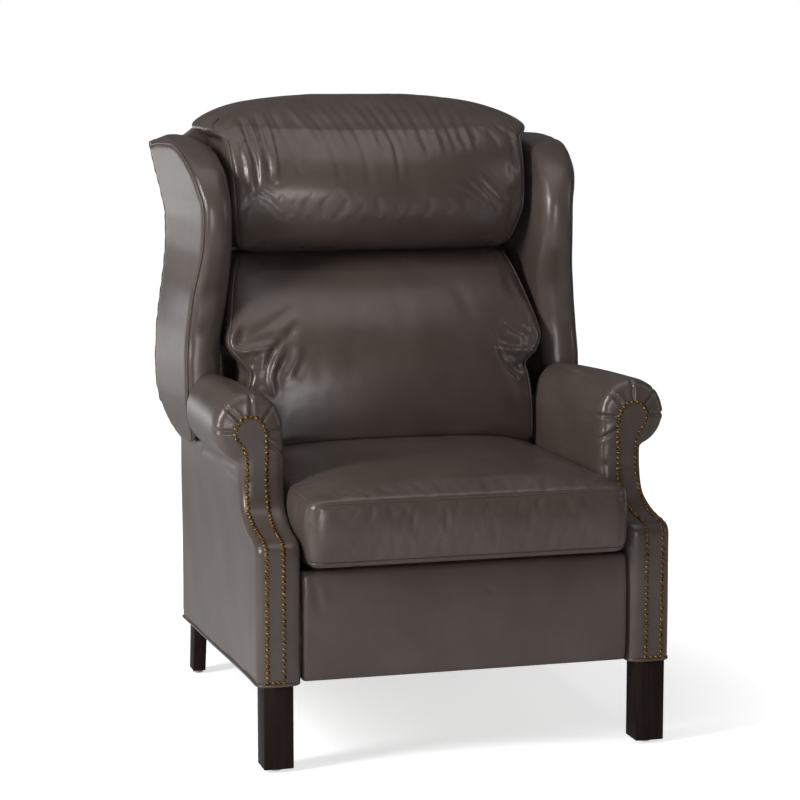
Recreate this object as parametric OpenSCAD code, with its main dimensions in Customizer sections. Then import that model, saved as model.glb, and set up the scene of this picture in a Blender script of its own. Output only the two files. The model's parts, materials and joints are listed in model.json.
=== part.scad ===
// Push-back wing recliner on high legs, with scroll arms, a boxed seat cushion,
// a lumbar cushion, a head pillow and a footrest panel that swings out of the front.
// X runs across the chair, -Y is the front, +Z is up, and the floor is at zero.

/* [Overall] */
// Height of the wooden front legs below the upholstery
leg_h = 152; // [120:1:190]
// Drop of the lower edge from the front to the back
base_drop = 44; // [0:1:60]
// Half of the width over the upholstered base
base_half_w = 375; // [340:1:420]
// Front face of the arm posts, ahead of the chair's middle
post_front_y = 422; // [390:1:460]
// Back edge of the side panels, behind the chair's middle
side_rear_y = 337; // [320:1:360]
// Narrowing of each side panel from the front to the back
side_taper = 15; // [0:1:30]

/* [Legs] */
// Width and depth of a front leg
front_leg_w = 52; // [40:1:65]
// Inset of a front leg from the side of the base
front_leg_inset = 10; // [4:1:20]
// Width of a rear leg
rear_leg_w = 25; // [20:1:25]
// Depth of a rear leg at its top
rear_leg_top_d = 52; // [40:1:60]
// Depth of a rear leg at the floor
rear_leg_foot_d = 38; // [30:1:50]
// How far a rear leg's foot is raked behind its top
rear_leg_rake = 20; // [0:1:40]
// Radius of a nylon glide
glide_r = 10; // [7:1:12]
// Height of a glide
glide_h = 6; // [3:1:8]
// Rubbed edge of a leg
leg_chamfer = 1.5; // [0.5:0.5:4]

/* [Arms] */
// Thickness of an arm, from the side of the base to its inner face
arm_w = 84; // [70:1:110]
// Height of the scroll's middle above the floor
scroll_z = 575; // [540:1:610]
// Radius of the arm scroll at the front
scroll_r = 63; // [50:1:68]
// Front of the arm scroll, ahead of the chair's middle
scroll_front_y = 283; // [260:1:310]
// Back end of the arm, behind the chair's middle
arm_rear_y = 94; // [60:1:98]
// Top of the shelf where the arm front meets the post
shelf_z = 395; // [370:1:410]
// How far a post's inner face stands back from the arm's inner face
post_inset = 6; // [5:0.5:10]
// Width of the nailed facing strip on the arm front
facing_w = 35; // [28:1:42]
// Thickness of the facing strip
facing_t = 3; // [2:0.5:5]
// Radius of a nail head
nail_r = 3.8; // [3:0.1:4.5]
// Distance between nails
nail_pitch = 9.7; // [9:0.1:14]

/* [Seat] */
// Gap between the seat cushion and an arm
seat_gap = 2; // [2:0.5:12]
// Front of the seat cushion, ahead of the chair's middle
seat_front_y = 441; // [425:1:460]
// Back of the seat cushion, behind the chair's middle
seat_rear_y = 200; // [150:1:204]
// Underside of the seat cushion
seat_z = 354; // [350:1:360]
// Height of the seat cushion to the top of its crown
seat_h = 143; // [120:1:144]
// Travel of the seat from upright to fully reclined
seat_travel = 50; // [30:1:55]

/* [Back] */
// Angle of the back, leaning from upright
back_rake = 9.3; // [6:0.1:14]
// Angle through which the back reclines
back_recline = 35; // [28:1:40]
// Height of the back's hinge above the floor
hinge_z = 330; // [322:1:340]
// Back's hinge, behind the chair's middle
hinge_y = 244; // [236:1:250]
// Thickness of the outside back panel
back_panel_t = 12; // [8:1:18]
// Height of the outside back panel's lower edge
back_panel_z = 448; // [444:1:460]
// Lowest point of a wing
wing_z = 482; // [480:1:500]
// Height of a wing
wing_h = 583; // [540:1:620]
// Depth of a wing at its deepest
wing_d = 350; // [310:1:380]
// How far each wing stands out beyond the base
wing_spread = 32; // [22:1:50]
// How far each side of the lumbar cushion reaches past the arm's inner face
lumbar_spread = 21; // [4:1:25]
// Underside of the lumbar cushion
lumbar_z = 500; // [498:1:510]
// Height of the lumbar cushion
lumbar_h = 341; // [320:1:345]
// Depth of the lumbar cushion, from the outside back panel
lumbar_d = 270; // [240:1:280]
// How far each side of the head pillow reaches past the arm's inner face
pillow_spread = 27; // [4:1:34]
// Gap between the lumbar cushion and the head pillow
pillow_gap = 5; // [1:1:15]
// Rise of the head pillow above the wings
pillow_rise = 78; // [50:1:100]
// Depth of the head pillow, from the outside back panel
pillow_d = 260; // [220:1:280]

/* [Footrest] */
// Gap between the footrest panel and a post
foot_gap = 2; // [1.5:0.5:12]
// Lower edge of the footrest panel
foot_z = 153; // [150:1:170]
// Height of the footrest panel
foot_h = 193; // [160:1:195]
// Length of the lift links
lift_len = 160; // [150:1:162]
// Height of the lift links' pivot on the seat
lift_pivot_z = 335; // [333:1:337]
// Lift links' pivot, ahead of the chair's middle
lift_pivot_y = 226; // [222:1:230]

/* [Hidden] */

// Widths and heights that follow from the sizes above
inside_half_w = base_half_w - arm_w;
post_inner_x = inside_half_w + post_inset;
seat_half_w = inside_half_w - seat_gap;
wing_half_w = base_half_w + wing_spread;
lumbar_half_w = inside_half_w + lumbar_spread;
pillow_half_w = inside_half_w + pillow_spread;
foot_half_w = post_inner_x - foot_gap;
pillow_z = lumbar_z + lumbar_h + pillow_gap;
pillow_h = wing_z + wing_h + pillow_rise - pillow_z;

// Colours of the materials
leather = "#4b4542";
wood = "#2a1f1d";
raw_wood = "#c9a878";
steel = "#4c4f52";
brass = "#8a6a3a";
nylon = "#e4e2da";
cloth = "#b9ad98";

// Facets and counts
bore_fn = 48;
corner_steps = 4;
edge_steps = 4;
nose_steps = 8;

// Clearances
cut_over = 1;
pin_gap = 0.05;
face_gap = 1;
soft_gap = 0.5;

// Points between two numbers
function mix(a, b, t) = a + (b - a) * t;

// One quarter of a rounded corner, from angle a0, counter-clockwise
function corner(cx, cy, r, a0) =
  [for (k = [0:corner_steps]) let (a = a0 + 90 * k / corner_steps) [cx + r * cos(a), cy + r * sin(a)]];

// Points along a straight edge, without its ends
function edge(a, b) =
  [for (k = [1:edge_steps]) let (t = k / (edge_steps + 1)) [mix(a[0], b[0], t), mix(a[1], b[1], t)]];

// A rounded rectangle from x0 to x1 and y0 to y1, with points along its edges
function round_rect(x0, x1, y0, y1, r) = concat(
  edge([x0 + r, y0], [x1 - r, y0]), corner(x1 - r, y0 + r, r, -90),
  edge([x1, y0 + r], [x1, y1 - r]), corner(x1 - r, y1 - r, r, 0),
  edge([x1 - r, y1], [x0 + r, y1]), corner(x0 + r, y1 - r, r, 90),
  edge([x0, y1 - r], [x0, y0 + r]), corner(x0 + r, y0 + r, r, 180));

// A level ring at height z, bulging forwards by crown at its middle
function crowned_ring(half_w, y0, y1, r, crown, z) =
  [for (p = round_rect(-half_w, half_w, y0, y1, r))
    let (u = p[0] / half_w, v = (y1 - p[1]) / (y1 - y0))
    [p[0], p[1] - crown * (1 - u * u) * v, z]];

// A closed skin over rings of equal count, each counter-clockwise seen from the last ring's side
module skin(rings) {
  n = len(rings[0]);
  m = len(rings);
  first_middle = [for (axis = [0:2]) [for (p = rings[0]) p[axis]] * [for (p = rings[0]) 1] / n];
  last_middle = [for (axis = [0:2]) [for (p = rings[m - 1]) p[axis]] * [for (p = rings[m - 1]) 1] / n];
  points = concat([for (ring = rings) each ring], [first_middle, last_middle]);
  sides = [for (i = [0:m - 2], j = [0:n - 1])
    let (a = i * n + j, b = i * n + (j + 1) % n, c = b + n, d = a + n)
    each [[a, d, c], [a, c, b]]];
  first_cap = [for (j = [0:n - 1]) [m * n, j, (j + 1) % n]];
  last_cap = [for (j = [0:n - 1]) [m * n + 1, (m - 1) * n + (j + 1) % n, (m - 1) * n + j]];
  polyhedron(points = points, faces = concat(sides, first_cap, last_cap));
}

// A flat outline in (y, z), made thick along +X from x
module plate_yz(x, t) {
  translate([x, 0, 0]) rotate([90, 0, 90]) linear_extrude(t) children();
}

// A round bar along X
module bar_x(x, y, z, length, r) {
  translate([x, y, z]) rotate([0, 90, 0]) cylinder(h = length, r = r, $fn = bore_fn);
}

// The same piece on the left, which is -X
module on_left() {
  mirror([1, 0, 0]) children();
}

// A flat outline link between two pivots, given as [y, z]
module link_outline(a, b, width, bore_r) {
  length = norm(b - a);
  turn = atan2(b[1] - a[1], b[0] - a[0]);
  translate(a) rotate(turn) difference() {
    union() {
      circle(r = width / 2, $fn = bore_fn);
      translate([0, -width / 2]) square([length, width]);
      translate([length, 0]) circle(r = width / 2, $fn = bore_fn);
    }
    circle(r = bore_r, $fn = bore_fn);
    translate([length, 0]) circle(r = bore_r, $fn = bore_fn);
  }
}

// Legs and glides
front_leg_x = base_half_w - front_leg_inset - front_leg_w;
front_leg_setback = 1;
front_leg_y = -post_front_y + front_leg_setback;
rear_leg_setback = 4;
rear_leg_y = side_rear_y - rear_leg_setback;
rear_leg_rise = 8;
rear_leg_top_z = leg_h + rear_leg_rise;
rail_t = 18;
rail_inset = 8;
rail_x = post_inner_x + rail_inset;
rear_leg_x = rail_x + rail_t;

module leg_square(w) {
  c = leg_chamfer;
  polygon([[c, 0], [w - c, 0], [w, c], [w, w - c], [w - c, w], [c, w], [0, w - c], [0, c]]);
}

module front_leg() {
  color(wood)
    translate([front_leg_x, front_leg_y, glide_h])
      linear_extrude(leg_h - glide_h) leg_square(front_leg_w);
}

module rear_leg() {
  top_y = rear_leg_y - rear_leg_rake - rear_leg_top_d;
  foot_y = rear_leg_y - rear_leg_foot_d;
  color(wood)
    plate_yz(rear_leg_x, rear_leg_w)
      polygon([[foot_y, glide_h], [rear_leg_y, glide_h],
        [rear_leg_y - rear_leg_rake, rear_leg_top_z], [top_y, rear_leg_top_z]]);
}

module leg_glides() {
  color(nylon) {
    for (side = [-1, 1]) {
      translate([side * (front_leg_x + front_leg_w / 2), front_leg_y + front_leg_w / 2, 0])
        cylinder(h = glide_h, r = glide_r, $fn = bore_fn);
      translate([side * (rear_leg_x + rear_leg_w / 2), rear_leg_y - rear_leg_foot_d / 2, 0])
        cylinder(h = glide_h, r = glide_r, $fn = bore_fn);
    }
  }
}

// Base frame of wood
rail_z = 170;
rail_top_z = 340;
rail_rear_top_z = 385;
rail_step_y = 190;
post_d = 72;
board_t = 16;
front_rail_d = 50;
rear_rail_h = 90;
rear_panel_t = 12;
rear_panel_top_z = 424;
rear_panel_setback = 5;
rear_panel_y = side_rear_y - rear_panel_setback;
block_s = 60;

module side_rail() {
  color(raw_wood)
    plate_yz(rail_x, rail_t)
      polygon([[-post_front_y + post_d, rail_z], [rear_panel_y - rear_panel_t, rail_z],
        [rear_panel_y - rear_panel_t, rail_rear_top_z], [rail_step_y, rail_rear_top_z],
        [rail_step_y, rail_top_z], [-post_front_y + post_d, rail_top_z]]);
}

module front_rail() {
  color(raw_wood)
    translate([-post_inner_x, -post_front_y + front_rail_d, leg_h])
      cube([2 * post_inner_x, front_rail_d / 2, board_t]);
}

module rear_rail() {
  color(raw_wood)
    translate([-rail_x, rear_panel_y - rear_panel_t - rail_t, leg_h - base_drop + board_t])
      cube([2 * rail_x, rail_t, rear_rail_h]);
}

// Triangular glue blocks in the rear corners
module corner_blocks() {
  color(raw_wood)
    for (side = [0, 1]) mirror([side, 0, 0])
      translate([rail_x, rear_panel_y - rear_panel_t - rail_t, rail_z])
        linear_extrude(rear_rail_h / 2) polygon([[0, 0], [-block_s, 0], [0, -block_s]]);
}

module base_rear_panel() {
  half_w = base_half_w - side_taper - side_t - face_gap;
  color(leather)
    translate([-half_w, rear_panel_y - rear_panel_t, leg_h - base_drop + rear_panel_lift])
      cube([2 * half_w, rear_panel_t, rear_panel_top_z - leg_h + base_drop - rear_panel_lift]);
}

// Size of the arm's roll at its rear end, and its crown
scroll_rear_z = 560;
scroll_rear_half_h = 66;
arm_crown = 3;

// Underside of the roll at share t of its length from the front
function roll_low_z(t) = mix(scroll_z, scroll_rear_z, t)
  - mix(scroll_r, scroll_rear_half_h, t) - arm_crown * sin(180 * t);

// Side panels, outside the arms
side_t = 12;
rear_panel_lift = 4;
side_top_gap = 6;
side_top_steps = 4;
side_shoulder_z = 487;
side_low_z = 484;
post_shoulder_z = 340;
post_neck_z = 380;
neck_rear_y = 232;
shoulder_run = 6;

module side_outline() {
  front = -post_front_y + post_d;
  polygon([[front, leg_h], [side_rear_y - rear_panel_lift, leg_h - base_drop],
    [side_rear_y, side_low_z], [arm_rear_y + shoulder_run, side_shoulder_z],
    for (k = [side_top_steps:-1:0]) let (t = k / side_top_steps)
      [mix(-neck_rear_y, arm_rear_y, t), roll_low_z(t) - side_top_gap],
    [-neck_rear_y, post_neck_z], [front, post_shoulder_z]]);
}

module outside_arm() {
  front = -post_front_y + post_d;
  turn = atan2(side_taper, side_rear_y - front);
  color(leather)
    translate([base_half_w, front, 0]) rotate(turn) translate([-side_t, -front, 0])
      plate_yz(0, side_t) side_outline();
}

welt_r = 3.5;

module base_welts() {
  front = -post_front_y + post_d;
  run = side_rear_y - front;
  tilt = atan2(base_drop, run);
  color(leather)
    for (side = [0, 1]) mirror([side, 0, 0])
      translate([base_half_w - welt_r, front, leg_h - welt_r - face_gap])
        rotate(atan2(side_taper, run)) rotate([-90 - tilt, 0, 0])
          cylinder(h = run / cos(tilt) - rear_panel_lift, r = welt_r, $fn = bore_fn);
}

// Inside of an arm
inside_t = 6;
inside_rear_y = 135;
inside_track_gap = 48;
arm_board_z = 468;
arm_top_z = 490;

module inside_arm() {
  inside_low_z = track_z + track_h + inside_track_gap;
  color(leather)
    plate_yz(inside_half_w, inside_t)
      polygon([[-neck_rear_y, inside_low_z], [inside_rear_y, inside_low_z],
        [inside_rear_y, arm_top_z], [-neck_rear_y, arm_top_z]]);
}

// Wooden top board of an arm, and the stumps that carry it
arm_board_w = 48;
stump_w = 38;
stump_d = 50;

module arm_rail() {
  color(raw_wood)
    translate([inside_half_w + inside_t, -neck_rear_y, arm_board_z])
      cube([arm_board_w, neck_rear_y + arm_rear_y - face_gap, arm_top_z - arm_board_z]);
}

module arm_stumps() {
  color(raw_wood)
    for (side = [0, 1]) mirror([side, 0, 0])
      for (y = [-neck_rear_y + face_gap, arm_rear_y - stump_d - face_gap])
        translate([rail_x, y, rail_top_z])
          cube([stump_w, stump_d, arm_board_z - rail_top_z]);
}

// Rolled arm: the scroll above, and a straight inner face down to the arm's board.
// Rows: distance back from the scroll's front, share of the scroll's size there
scroll_mid_x = inside_half_w + scroll_r + face_gap;
scroll_rear_inset = 31;
scroll_rear_mid_x = base_half_w - scroll_rear_inset;
scroll_rear_half_w = 50;
scroll_nose = 32;
scroll_nose_shares = [[0, 0.5], [0.06, 0.72], [0.22, 0.88], [0.53, 0.97], [1, 1]];
scroll_under_angle = -75;
arm_rows = 6;
neck_inset = 18;
neck_outer_x = base_half_w - neck_inset;
neck_lip = 3;

function arm_ring(y, t, s) =
  let (cx = mix(scroll_mid_x, scroll_rear_mid_x, t),
    cz = mix(scroll_z, scroll_rear_z, t),
    a = mix(scroll_r, scroll_rear_half_w, t) * s,
    b = (mix(scroll_r, scroll_rear_half_h, t) + arm_crown * sin(180 * t)) * s,
    low = mix(neck_outer_x, base_half_w - side_t - side_taper, t))
  concat(
    [[inside_half_w + soft_gap, y, arm_top_z],
      [mix(inside_half_w + soft_gap, cx - a, 0.5), y, mix(arm_top_z, cz, 0.5)]],
    [for (k = [0:18]) let (ang = mix(180, scroll_under_angle, k / 18))
      [cx + a * cos(ang), y, cz + b * sin(ang)]],
    [[low + neck_lip, y, mix(arm_top_z, cz + b * sin(scroll_under_angle), 0.7)], [low, y, arm_top_z]]);

module arm_roll() {
  nose_rings = [for (row = scroll_nose_shares)
    arm_ring(-scroll_front_y + scroll_nose * row[0], 0, row[1])];
  run_rings = [for (k = [1:arm_rows])
    arm_ring(mix(-scroll_front_y + scroll_nose, arm_rear_y, k / arm_rows), k / arm_rows, 1)];
  color(leather) skin(concat(nose_rings, run_rings));
}

// Front of an arm, from the bottom of the post up the double curve to the scroll.
// Rows: share of the run back from the post's face to the neck, share of the rise from the shelf
curve_run = post_front_y - scroll_front_y;
curve_top_z = 487;
curve_shares = [[0, -0.163], [0.007, -0.07], [0.072, 0.005], [0.216, 0.065], [0.44, 0.12], [0.59, 0.18],
  [0.70, 0.25], [0.80, 0.33], [0.88, 0.413], [0.935, 0.52], [0.971, 0.652], [0.99, 0.80], [1, 1]];

function curve_y(row) = -post_front_y + curve_run * row[0];
function curve_z(row) = shelf_z + (curve_top_z - shelf_z) * row[1];

post_corner_r = 18;
neck_inner_x = inside_half_w;
neck_outer_inset = 2;
neck_outer_half = base_half_w - neck_outer_inset;

function post_ring(x0, x1, y0, y1, z) =
  [for (p = round_rect(x0, x1, y0, y1, post_corner_r)) [p[0], p[1], z]];

module front_post() {
  post_rear = -post_front_y + post_d;
  color(leather) skin(concat(
    [post_ring(post_inner_x, base_half_w, -post_front_y, post_rear, leg_h),
      post_ring(post_inner_x, base_half_w, -post_front_y, post_rear, post_shoulder_z),
      post_ring(post_inner_x, base_half_w, -post_front_y, -neck_rear_y, post_neck_z)],
    [for (row = curve_shares)
      post_ring(mix(post_inner_x, neck_inner_x + soft_gap, row[0]), mix(base_half_w, neck_outer_half, row[0]),
        curve_y(row), -neck_rear_y, curve_z(row))],
    [post_ring(neck_inner_x + soft_gap, neck_outer_half, -scroll_front_y, -neck_rear_y, arm_top_z)]));
}

// Nailed facing strip along the arm front, with a round head on the scroll
facing_inset = 29;
facing_x = post_inner_x + facing_inset;
facing_head_r = 31;
facing_head_inset = 19;
facing_head_x = facing_x + facing_head_inset;
facing_head_z = 571;
facing_head_t = 4;

// The arm's front in side view, and the facing's outer face over it
arm_line = concat([[-post_front_y, leg_h]],
  [for (row = curve_shares) [curve_y(row), curve_z(row)]],
  [[-scroll_front_y, facing_head_z]]);
facing_line = [for (k = [0:len(arm_line) - 1])
  let (a = arm_line[max(k - 1, 0)], b = arm_line[min(k + 1, len(arm_line) - 1)], d = (b - a) / norm(b - a))
  arm_line[k] + facing_t * [-d[1], d[0]]];

module arm_facing() {
  front_line = arm_line;
  back_line = [for (k = [len(arm_line) - 1:-1:0]) facing_line[k]];
  color(leather) union() {
    plate_yz(facing_x, facing_w) polygon(concat(front_line, back_line));
    translate([facing_head_x, -scroll_front_y, facing_head_z]) rotate([90, 0, 0])
      cylinder(h = facing_head_t, r = facing_head_r, $fn = bore_fn);
  }
}

// Steel track for the seat's rollers
track_web_t = 3;
track_w = 14;
track_x = rail_x - track_w;
track_z = 278;
track_h = 24;
track_flange_t = 2.5;
track_front_y = 178;
track_rear_y = 165;

module track() {
  w = rail_x - track_x;
  color(steel)
    translate([0, -track_front_y, 0]) rotate([-90, 0, 0]) mirror([0, 1, 0])
      linear_extrude(track_front_y + track_rear_y)
        polygon([[track_x, track_z], [rail_x, track_z], [rail_x, track_z + track_h],
          [track_x, track_z + track_h], [track_x, track_z + track_h - track_flange_t],
          [rail_x - track_web_t, track_z + track_h - track_flange_t],
          [rail_x - track_web_t, track_z + track_flange_t], [track_x, track_z + track_flange_t]]);
}

// Pivot plate of the back's hinge, with its pin
pivot_plate_t = 3;
pivot_plate_w = 76;
pivot_pin_r = 8;
pivot_head_r = 12;
pivot_head_t = 3;
bracket_t = 5;
stile_inset = 43;
stile_x = rail_x - stile_inset;
stile_w = 32;
bracket_x = stile_x + stile_w;

module pivot_plate() {
  plate_x = rail_x - pivot_plate_t;
  head_x = bracket_x - face_gap / 2 - pivot_head_t;
  color(steel) union() {
    plate_yz(plate_x, pivot_plate_t)
      translate([hinge_y - pivot_plate_w / 2, rail_rear_top_z - pivot_plate_w])
        square([pivot_plate_w, pivot_plate_w]);
    bar_x(head_x, hinge_y, hinge_z, plate_x - head_x, pivot_pin_r);
    bar_x(head_x, hinge_y, hinge_z, pivot_head_t, pivot_head_r);
  }
}

// Seat frame
seat_rail_t = 22;
seat_rail_h = 45;
seat_rail_inset = 59;
seat_rail_x = rail_x - seat_rail_inset;
seat_frame_front_y = 376;
seat_frame_z = 300;
deck_t = seat_z - soft_gap - seat_frame_z - seat_rail_h;

module seat_side_rails() {
  color(raw_wood)
    for (side = [0, 1]) mirror([side, 0, 0])
      translate([seat_rail_x, -seat_frame_front_y, seat_frame_z])
        cube([seat_rail_t, seat_frame_front_y + seat_rear_y, seat_rail_h]);
}

module seat_cross_rails() {
  color(raw_wood)
    for (y = [-seat_frame_front_y, seat_rear_y - seat_rail_t])
      translate([-seat_rail_x, y, seat_frame_z])
        cube([2 * seat_rail_x, seat_rail_t, seat_rail_h]);
}

// Zigzag springs from the front rail to the back rail of the seat
spring_count = 5;
spring_half_w = 24;
spring_waves = 13;
spring_wire_r = 2;
spring_sides = 6;
spring_wave_steps = 5;
spring_z = seat_frame_z + seat_rail_h - 2 * spring_wire_r;
spring_turn_share = 1.6;
spring_wave_skew = 5;

function spring_point(t, run) =
  let (wave = sin(360 * spring_waves / 2 * t))
  [spring_half_w * sign(wave) * pow(abs(wave), 1 / spring_turn_share),
    run * t - spring_wave_skew * sin(360 * spring_waves * t)];

module zigzag_spring(run) {
  steps = spring_waves * spring_wave_steps;
  path = [for (k = [0:steps]) spring_point(k / steps, run)];
  rings = [for (k = [0:steps])
    let (before = path[max(k - 1, 0)], after = path[min(k + 1, steps)],
      dir = k == 0 || k == steps ? [0, 1] : (after - before) / norm(after - before))
    [for (s = [0:spring_sides - 1]) let (a = 360 * s / spring_sides)
      [path[k][0] + spring_wire_r * cos(a) * dir[1], path[k][1] - spring_wire_r * cos(a) * dir[0],
        -spring_wire_r * sin(a)]]];
  skin(rings);
}

module seat_springs() {
  first_y = -seat_frame_front_y + seat_rail_t;
  run = seat_rear_y - seat_rail_t - first_y;
  color(steel)
    for (k = [0:spring_count - 1])
      translate([(k - (spring_count - 1) / 2) * 2 * seat_rail_x / spring_count, first_y, spring_z])
        zigzag_spring(run);
}

module seat_deck() {
  color(cloth)
    translate([-seat_rail_x - seat_rail_t, -seat_frame_front_y, seat_frame_z + seat_rail_h])
      cube([2 * (seat_rail_x + seat_rail_t), seat_frame_front_y + seat_rear_y, deck_t]);
}

// Boxed seat cushion. Rows: share of its height, share of its half width,
// share of its inset from the front, share of its inset from the back
seat_inset = 270;
seat_inset_rear = 200;
seat_corner_r = 22;
seat_corner_growth = 150;
seat_corner_share = 0.7;
seat_shares = [[0, 0.950, 0.050, 0.10], [0.03, 0.975, 0.032, 0.06], [0.09, 0.995, 0.012, 0.02],
  [0.32, 1, 0, 0], [0.60, 0.998, 0.006, 0.01], [0.73, 0.990, 0.022, 0.03],
  [0.776, 0.982, 0.042, 0.05], [0.80, 0.958, 0.072, 0.08],
  [0.865, 0.865, 0.170, 0.20], [0.923, 0.720, 0.330, 0.42], [0.972, 0.500, 0.600, 0.72], [1, 0.220, 1, 1]];

module seat_cushion() {
  color(leather) skin([for (row = seat_shares)
    let (half_w = seat_half_w * row[1],
      front = -seat_front_y + seat_inset * row[2],
      rear = seat_rear_y - seat_inset_rear * row[3],
      r = min(seat_corner_r + seat_corner_growth * (1 - row[1]), half_w * seat_corner_share))
    crowned_ring(half_w, front, rear, r, 0, seat_z + seat_h * row[0])]);
}

// Steel plate on the side of the seat frame, with the studs of its pivots
seat_plate_t = 3;
seat_plate_x = seat_rail_x + seat_rail_t;
lift_x = seat_plate_x + seat_plate_t + face_gap;
link_t = 4;
link_w = 26;
lift_bore_r = 6;
stud_end = 1;
roller_r = 9;
roller_w = 10;
roller_bore_r = 5;
roller_z = track_z + track_h / 2;
roller_front_y = 100;
roller_rear_y = 150;
drive_y = 60;
drive_drop = 28;
drive_z = track_z - drive_drop;
drive_inset = 18;
drive_x = rail_x - drive_inset;
drive_arm = seat_travel / sin(back_recline);
drive_bore_r = 6;
drive_slot_gap = 2.5;
drive_slack = 2;
drive_lead = 0.5;
plate_drop = 6;
plate_low_z = track_z - plate_drop;
plate_front_y = 256;
plate_rear_y = 178;
lobe_r = 18;

module seat_plate() {
  color(steel) union() {
    plate_yz(seat_plate_x, seat_plate_t) {
      translate([-plate_front_y, plate_low_z])
        square([plate_front_y + plate_rear_y, seat_frame_z + seat_rail_h - plate_low_z]);
      translate([drive_y, drive_z]) circle(r = lobe_r, $fn = bore_fn);
      translate([drive_y - lobe_r, drive_z]) square([2 * lobe_r, plate_low_z - drive_z + face_gap]);
    }
    bar_x(seat_plate_x, -lift_pivot_y, lift_pivot_z, lift_x + link_t + stud_end - seat_plate_x,
      lift_bore_r - pin_gap);
    bar_x(seat_plate_x, drive_y, drive_z, drive_x + link_t + stud_end - seat_plate_x, drive_bore_r - pin_gap);
    for (y = [-roller_front_y, roller_rear_y])
      bar_x(seat_plate_x, y, roller_z, rail_x - track_web_t - face_gap - seat_plate_x,
        roller_bore_r - pin_gap);
  }
}

// Nylon rollers that run in the tracks
module seat_rollers() {
  first_x = rail_x - track_web_t - face_gap - roller_w;
  color(nylon)
    for (side = [0, 1]) mirror([side, 0, 0])
      for (y = [-roller_front_y, roller_rear_y])
        difference() {
          bar_x(first_x, y, roller_z, roller_w, roller_r);
          bar_x(first_x - cut_over, y, roller_z, roller_w + 2 * cut_over, roller_bore_r);
        }
}

// The back's own frame stands in a plane that leans by the rake.
// Its height runs along the plane and its depth square to it, from the panel's outer face
module in_back_plane() {
  translate([0, side_rear_y, wing_z]) rotate([-back_rake, 0, 0]) children();
}

// Outer face of the outside back at height z
function back_y(z) = side_rear_y + (z - wing_z) * tan(back_rake);
// Inner face of the outside back at height z
function back_in_y(z) = back_y(z) - back_panel_t / cos(back_rake);

stile_d = 60;
frame_low = 8;
frame_top_drop = 38;
frame_h = wing_h - frame_top_drop;
back_rail_h = 45;
wing_board_inset = 67;
wing_board_x = wing_half_w - wing_board_inset;
back_rail_half_w = wing_board_x - face_gap;
frame_mid = 260;
spring_cloth_t = 3;

module back_stiles() {
  color(raw_wood) in_back_plane()
    for (side = [0, 1]) mirror([side, 0, 0])
      translate([stile_x, -back_panel_t - stile_d, frame_low])
        cube([stile_w, stile_d, frame_h]);
}

module back_rails() {
  color(raw_wood) in_back_plane() {
    for (h = [frame_low, frame_mid, frame_low + frame_h - back_rail_h])
      translate([-stile_x, -back_panel_t - stile_d, h])
        cube([2 * stile_x, stile_d / 2, back_rail_h]);
    for (side = [0, 1], h = [frame_mid, frame_low + frame_h - back_rail_h]) mirror([side, 0, 0])
      translate([stile_x + stile_w, -back_panel_t - stile_d, h])
        cube([back_rail_half_w - stile_x - stile_w, stile_d, back_rail_h]);
  }
}

module back_spring_cloth() {
  color(cloth) in_back_plane()
    translate([-stile_x - stile_w, -back_panel_t - stile_d - spring_cloth_t, frame_low])
      cube([2 * (stile_x + stile_w), spring_cloth_t, frame_h]);
}

// Steel bracket that carries the back on its hinge
bracket_w = 34;
bracket_eye_r = 20;
bracket_top_z = 640;
bracket_bend_z = 486;
bracket_bore_r = 8.05;

module back_bracket() {
  top_y = back_in_y(bracket_top_z) - stile_d;
  bend_y = back_in_y(bracket_bend_z) - stile_d;
  color(steel) union() {
    plate_yz(bracket_x, bracket_t) difference() {
      union() {
        translate([hinge_y, hinge_z]) circle(r = bracket_eye_r, $fn = bore_fn);
        polygon([[hinge_y, hinge_z], [hinge_y, bracket_bend_z - bracket_eye_r],
          [bend_y + bracket_w, bracket_bend_z + bracket_eye_r],
          [top_y + bracket_w, bracket_top_z], [top_y, bracket_top_z], [hinge_y - bracket_w, bracket_bend_z],
          [hinge_y - bracket_w / 2 - face_gap, hinge_z]]);
        translate([hinge_y - bracket_w / 3, hinge_z - drive_arm])
          square([2 * bracket_w / 3, drive_arm]);
        translate([hinge_y, hinge_z - drive_arm]) circle(r = bracket_w / 3, $fn = bore_fn);
      }
      translate([hinge_y, hinge_z]) circle(r = bracket_bore_r, $fn = bore_fn);
    }
    bar_x(drive_x - stud_end, hinge_y, hinge_z - drive_arm, bracket_x - drive_x + stud_end,
      drive_bore_r - pin_gap);
  }
}

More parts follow.
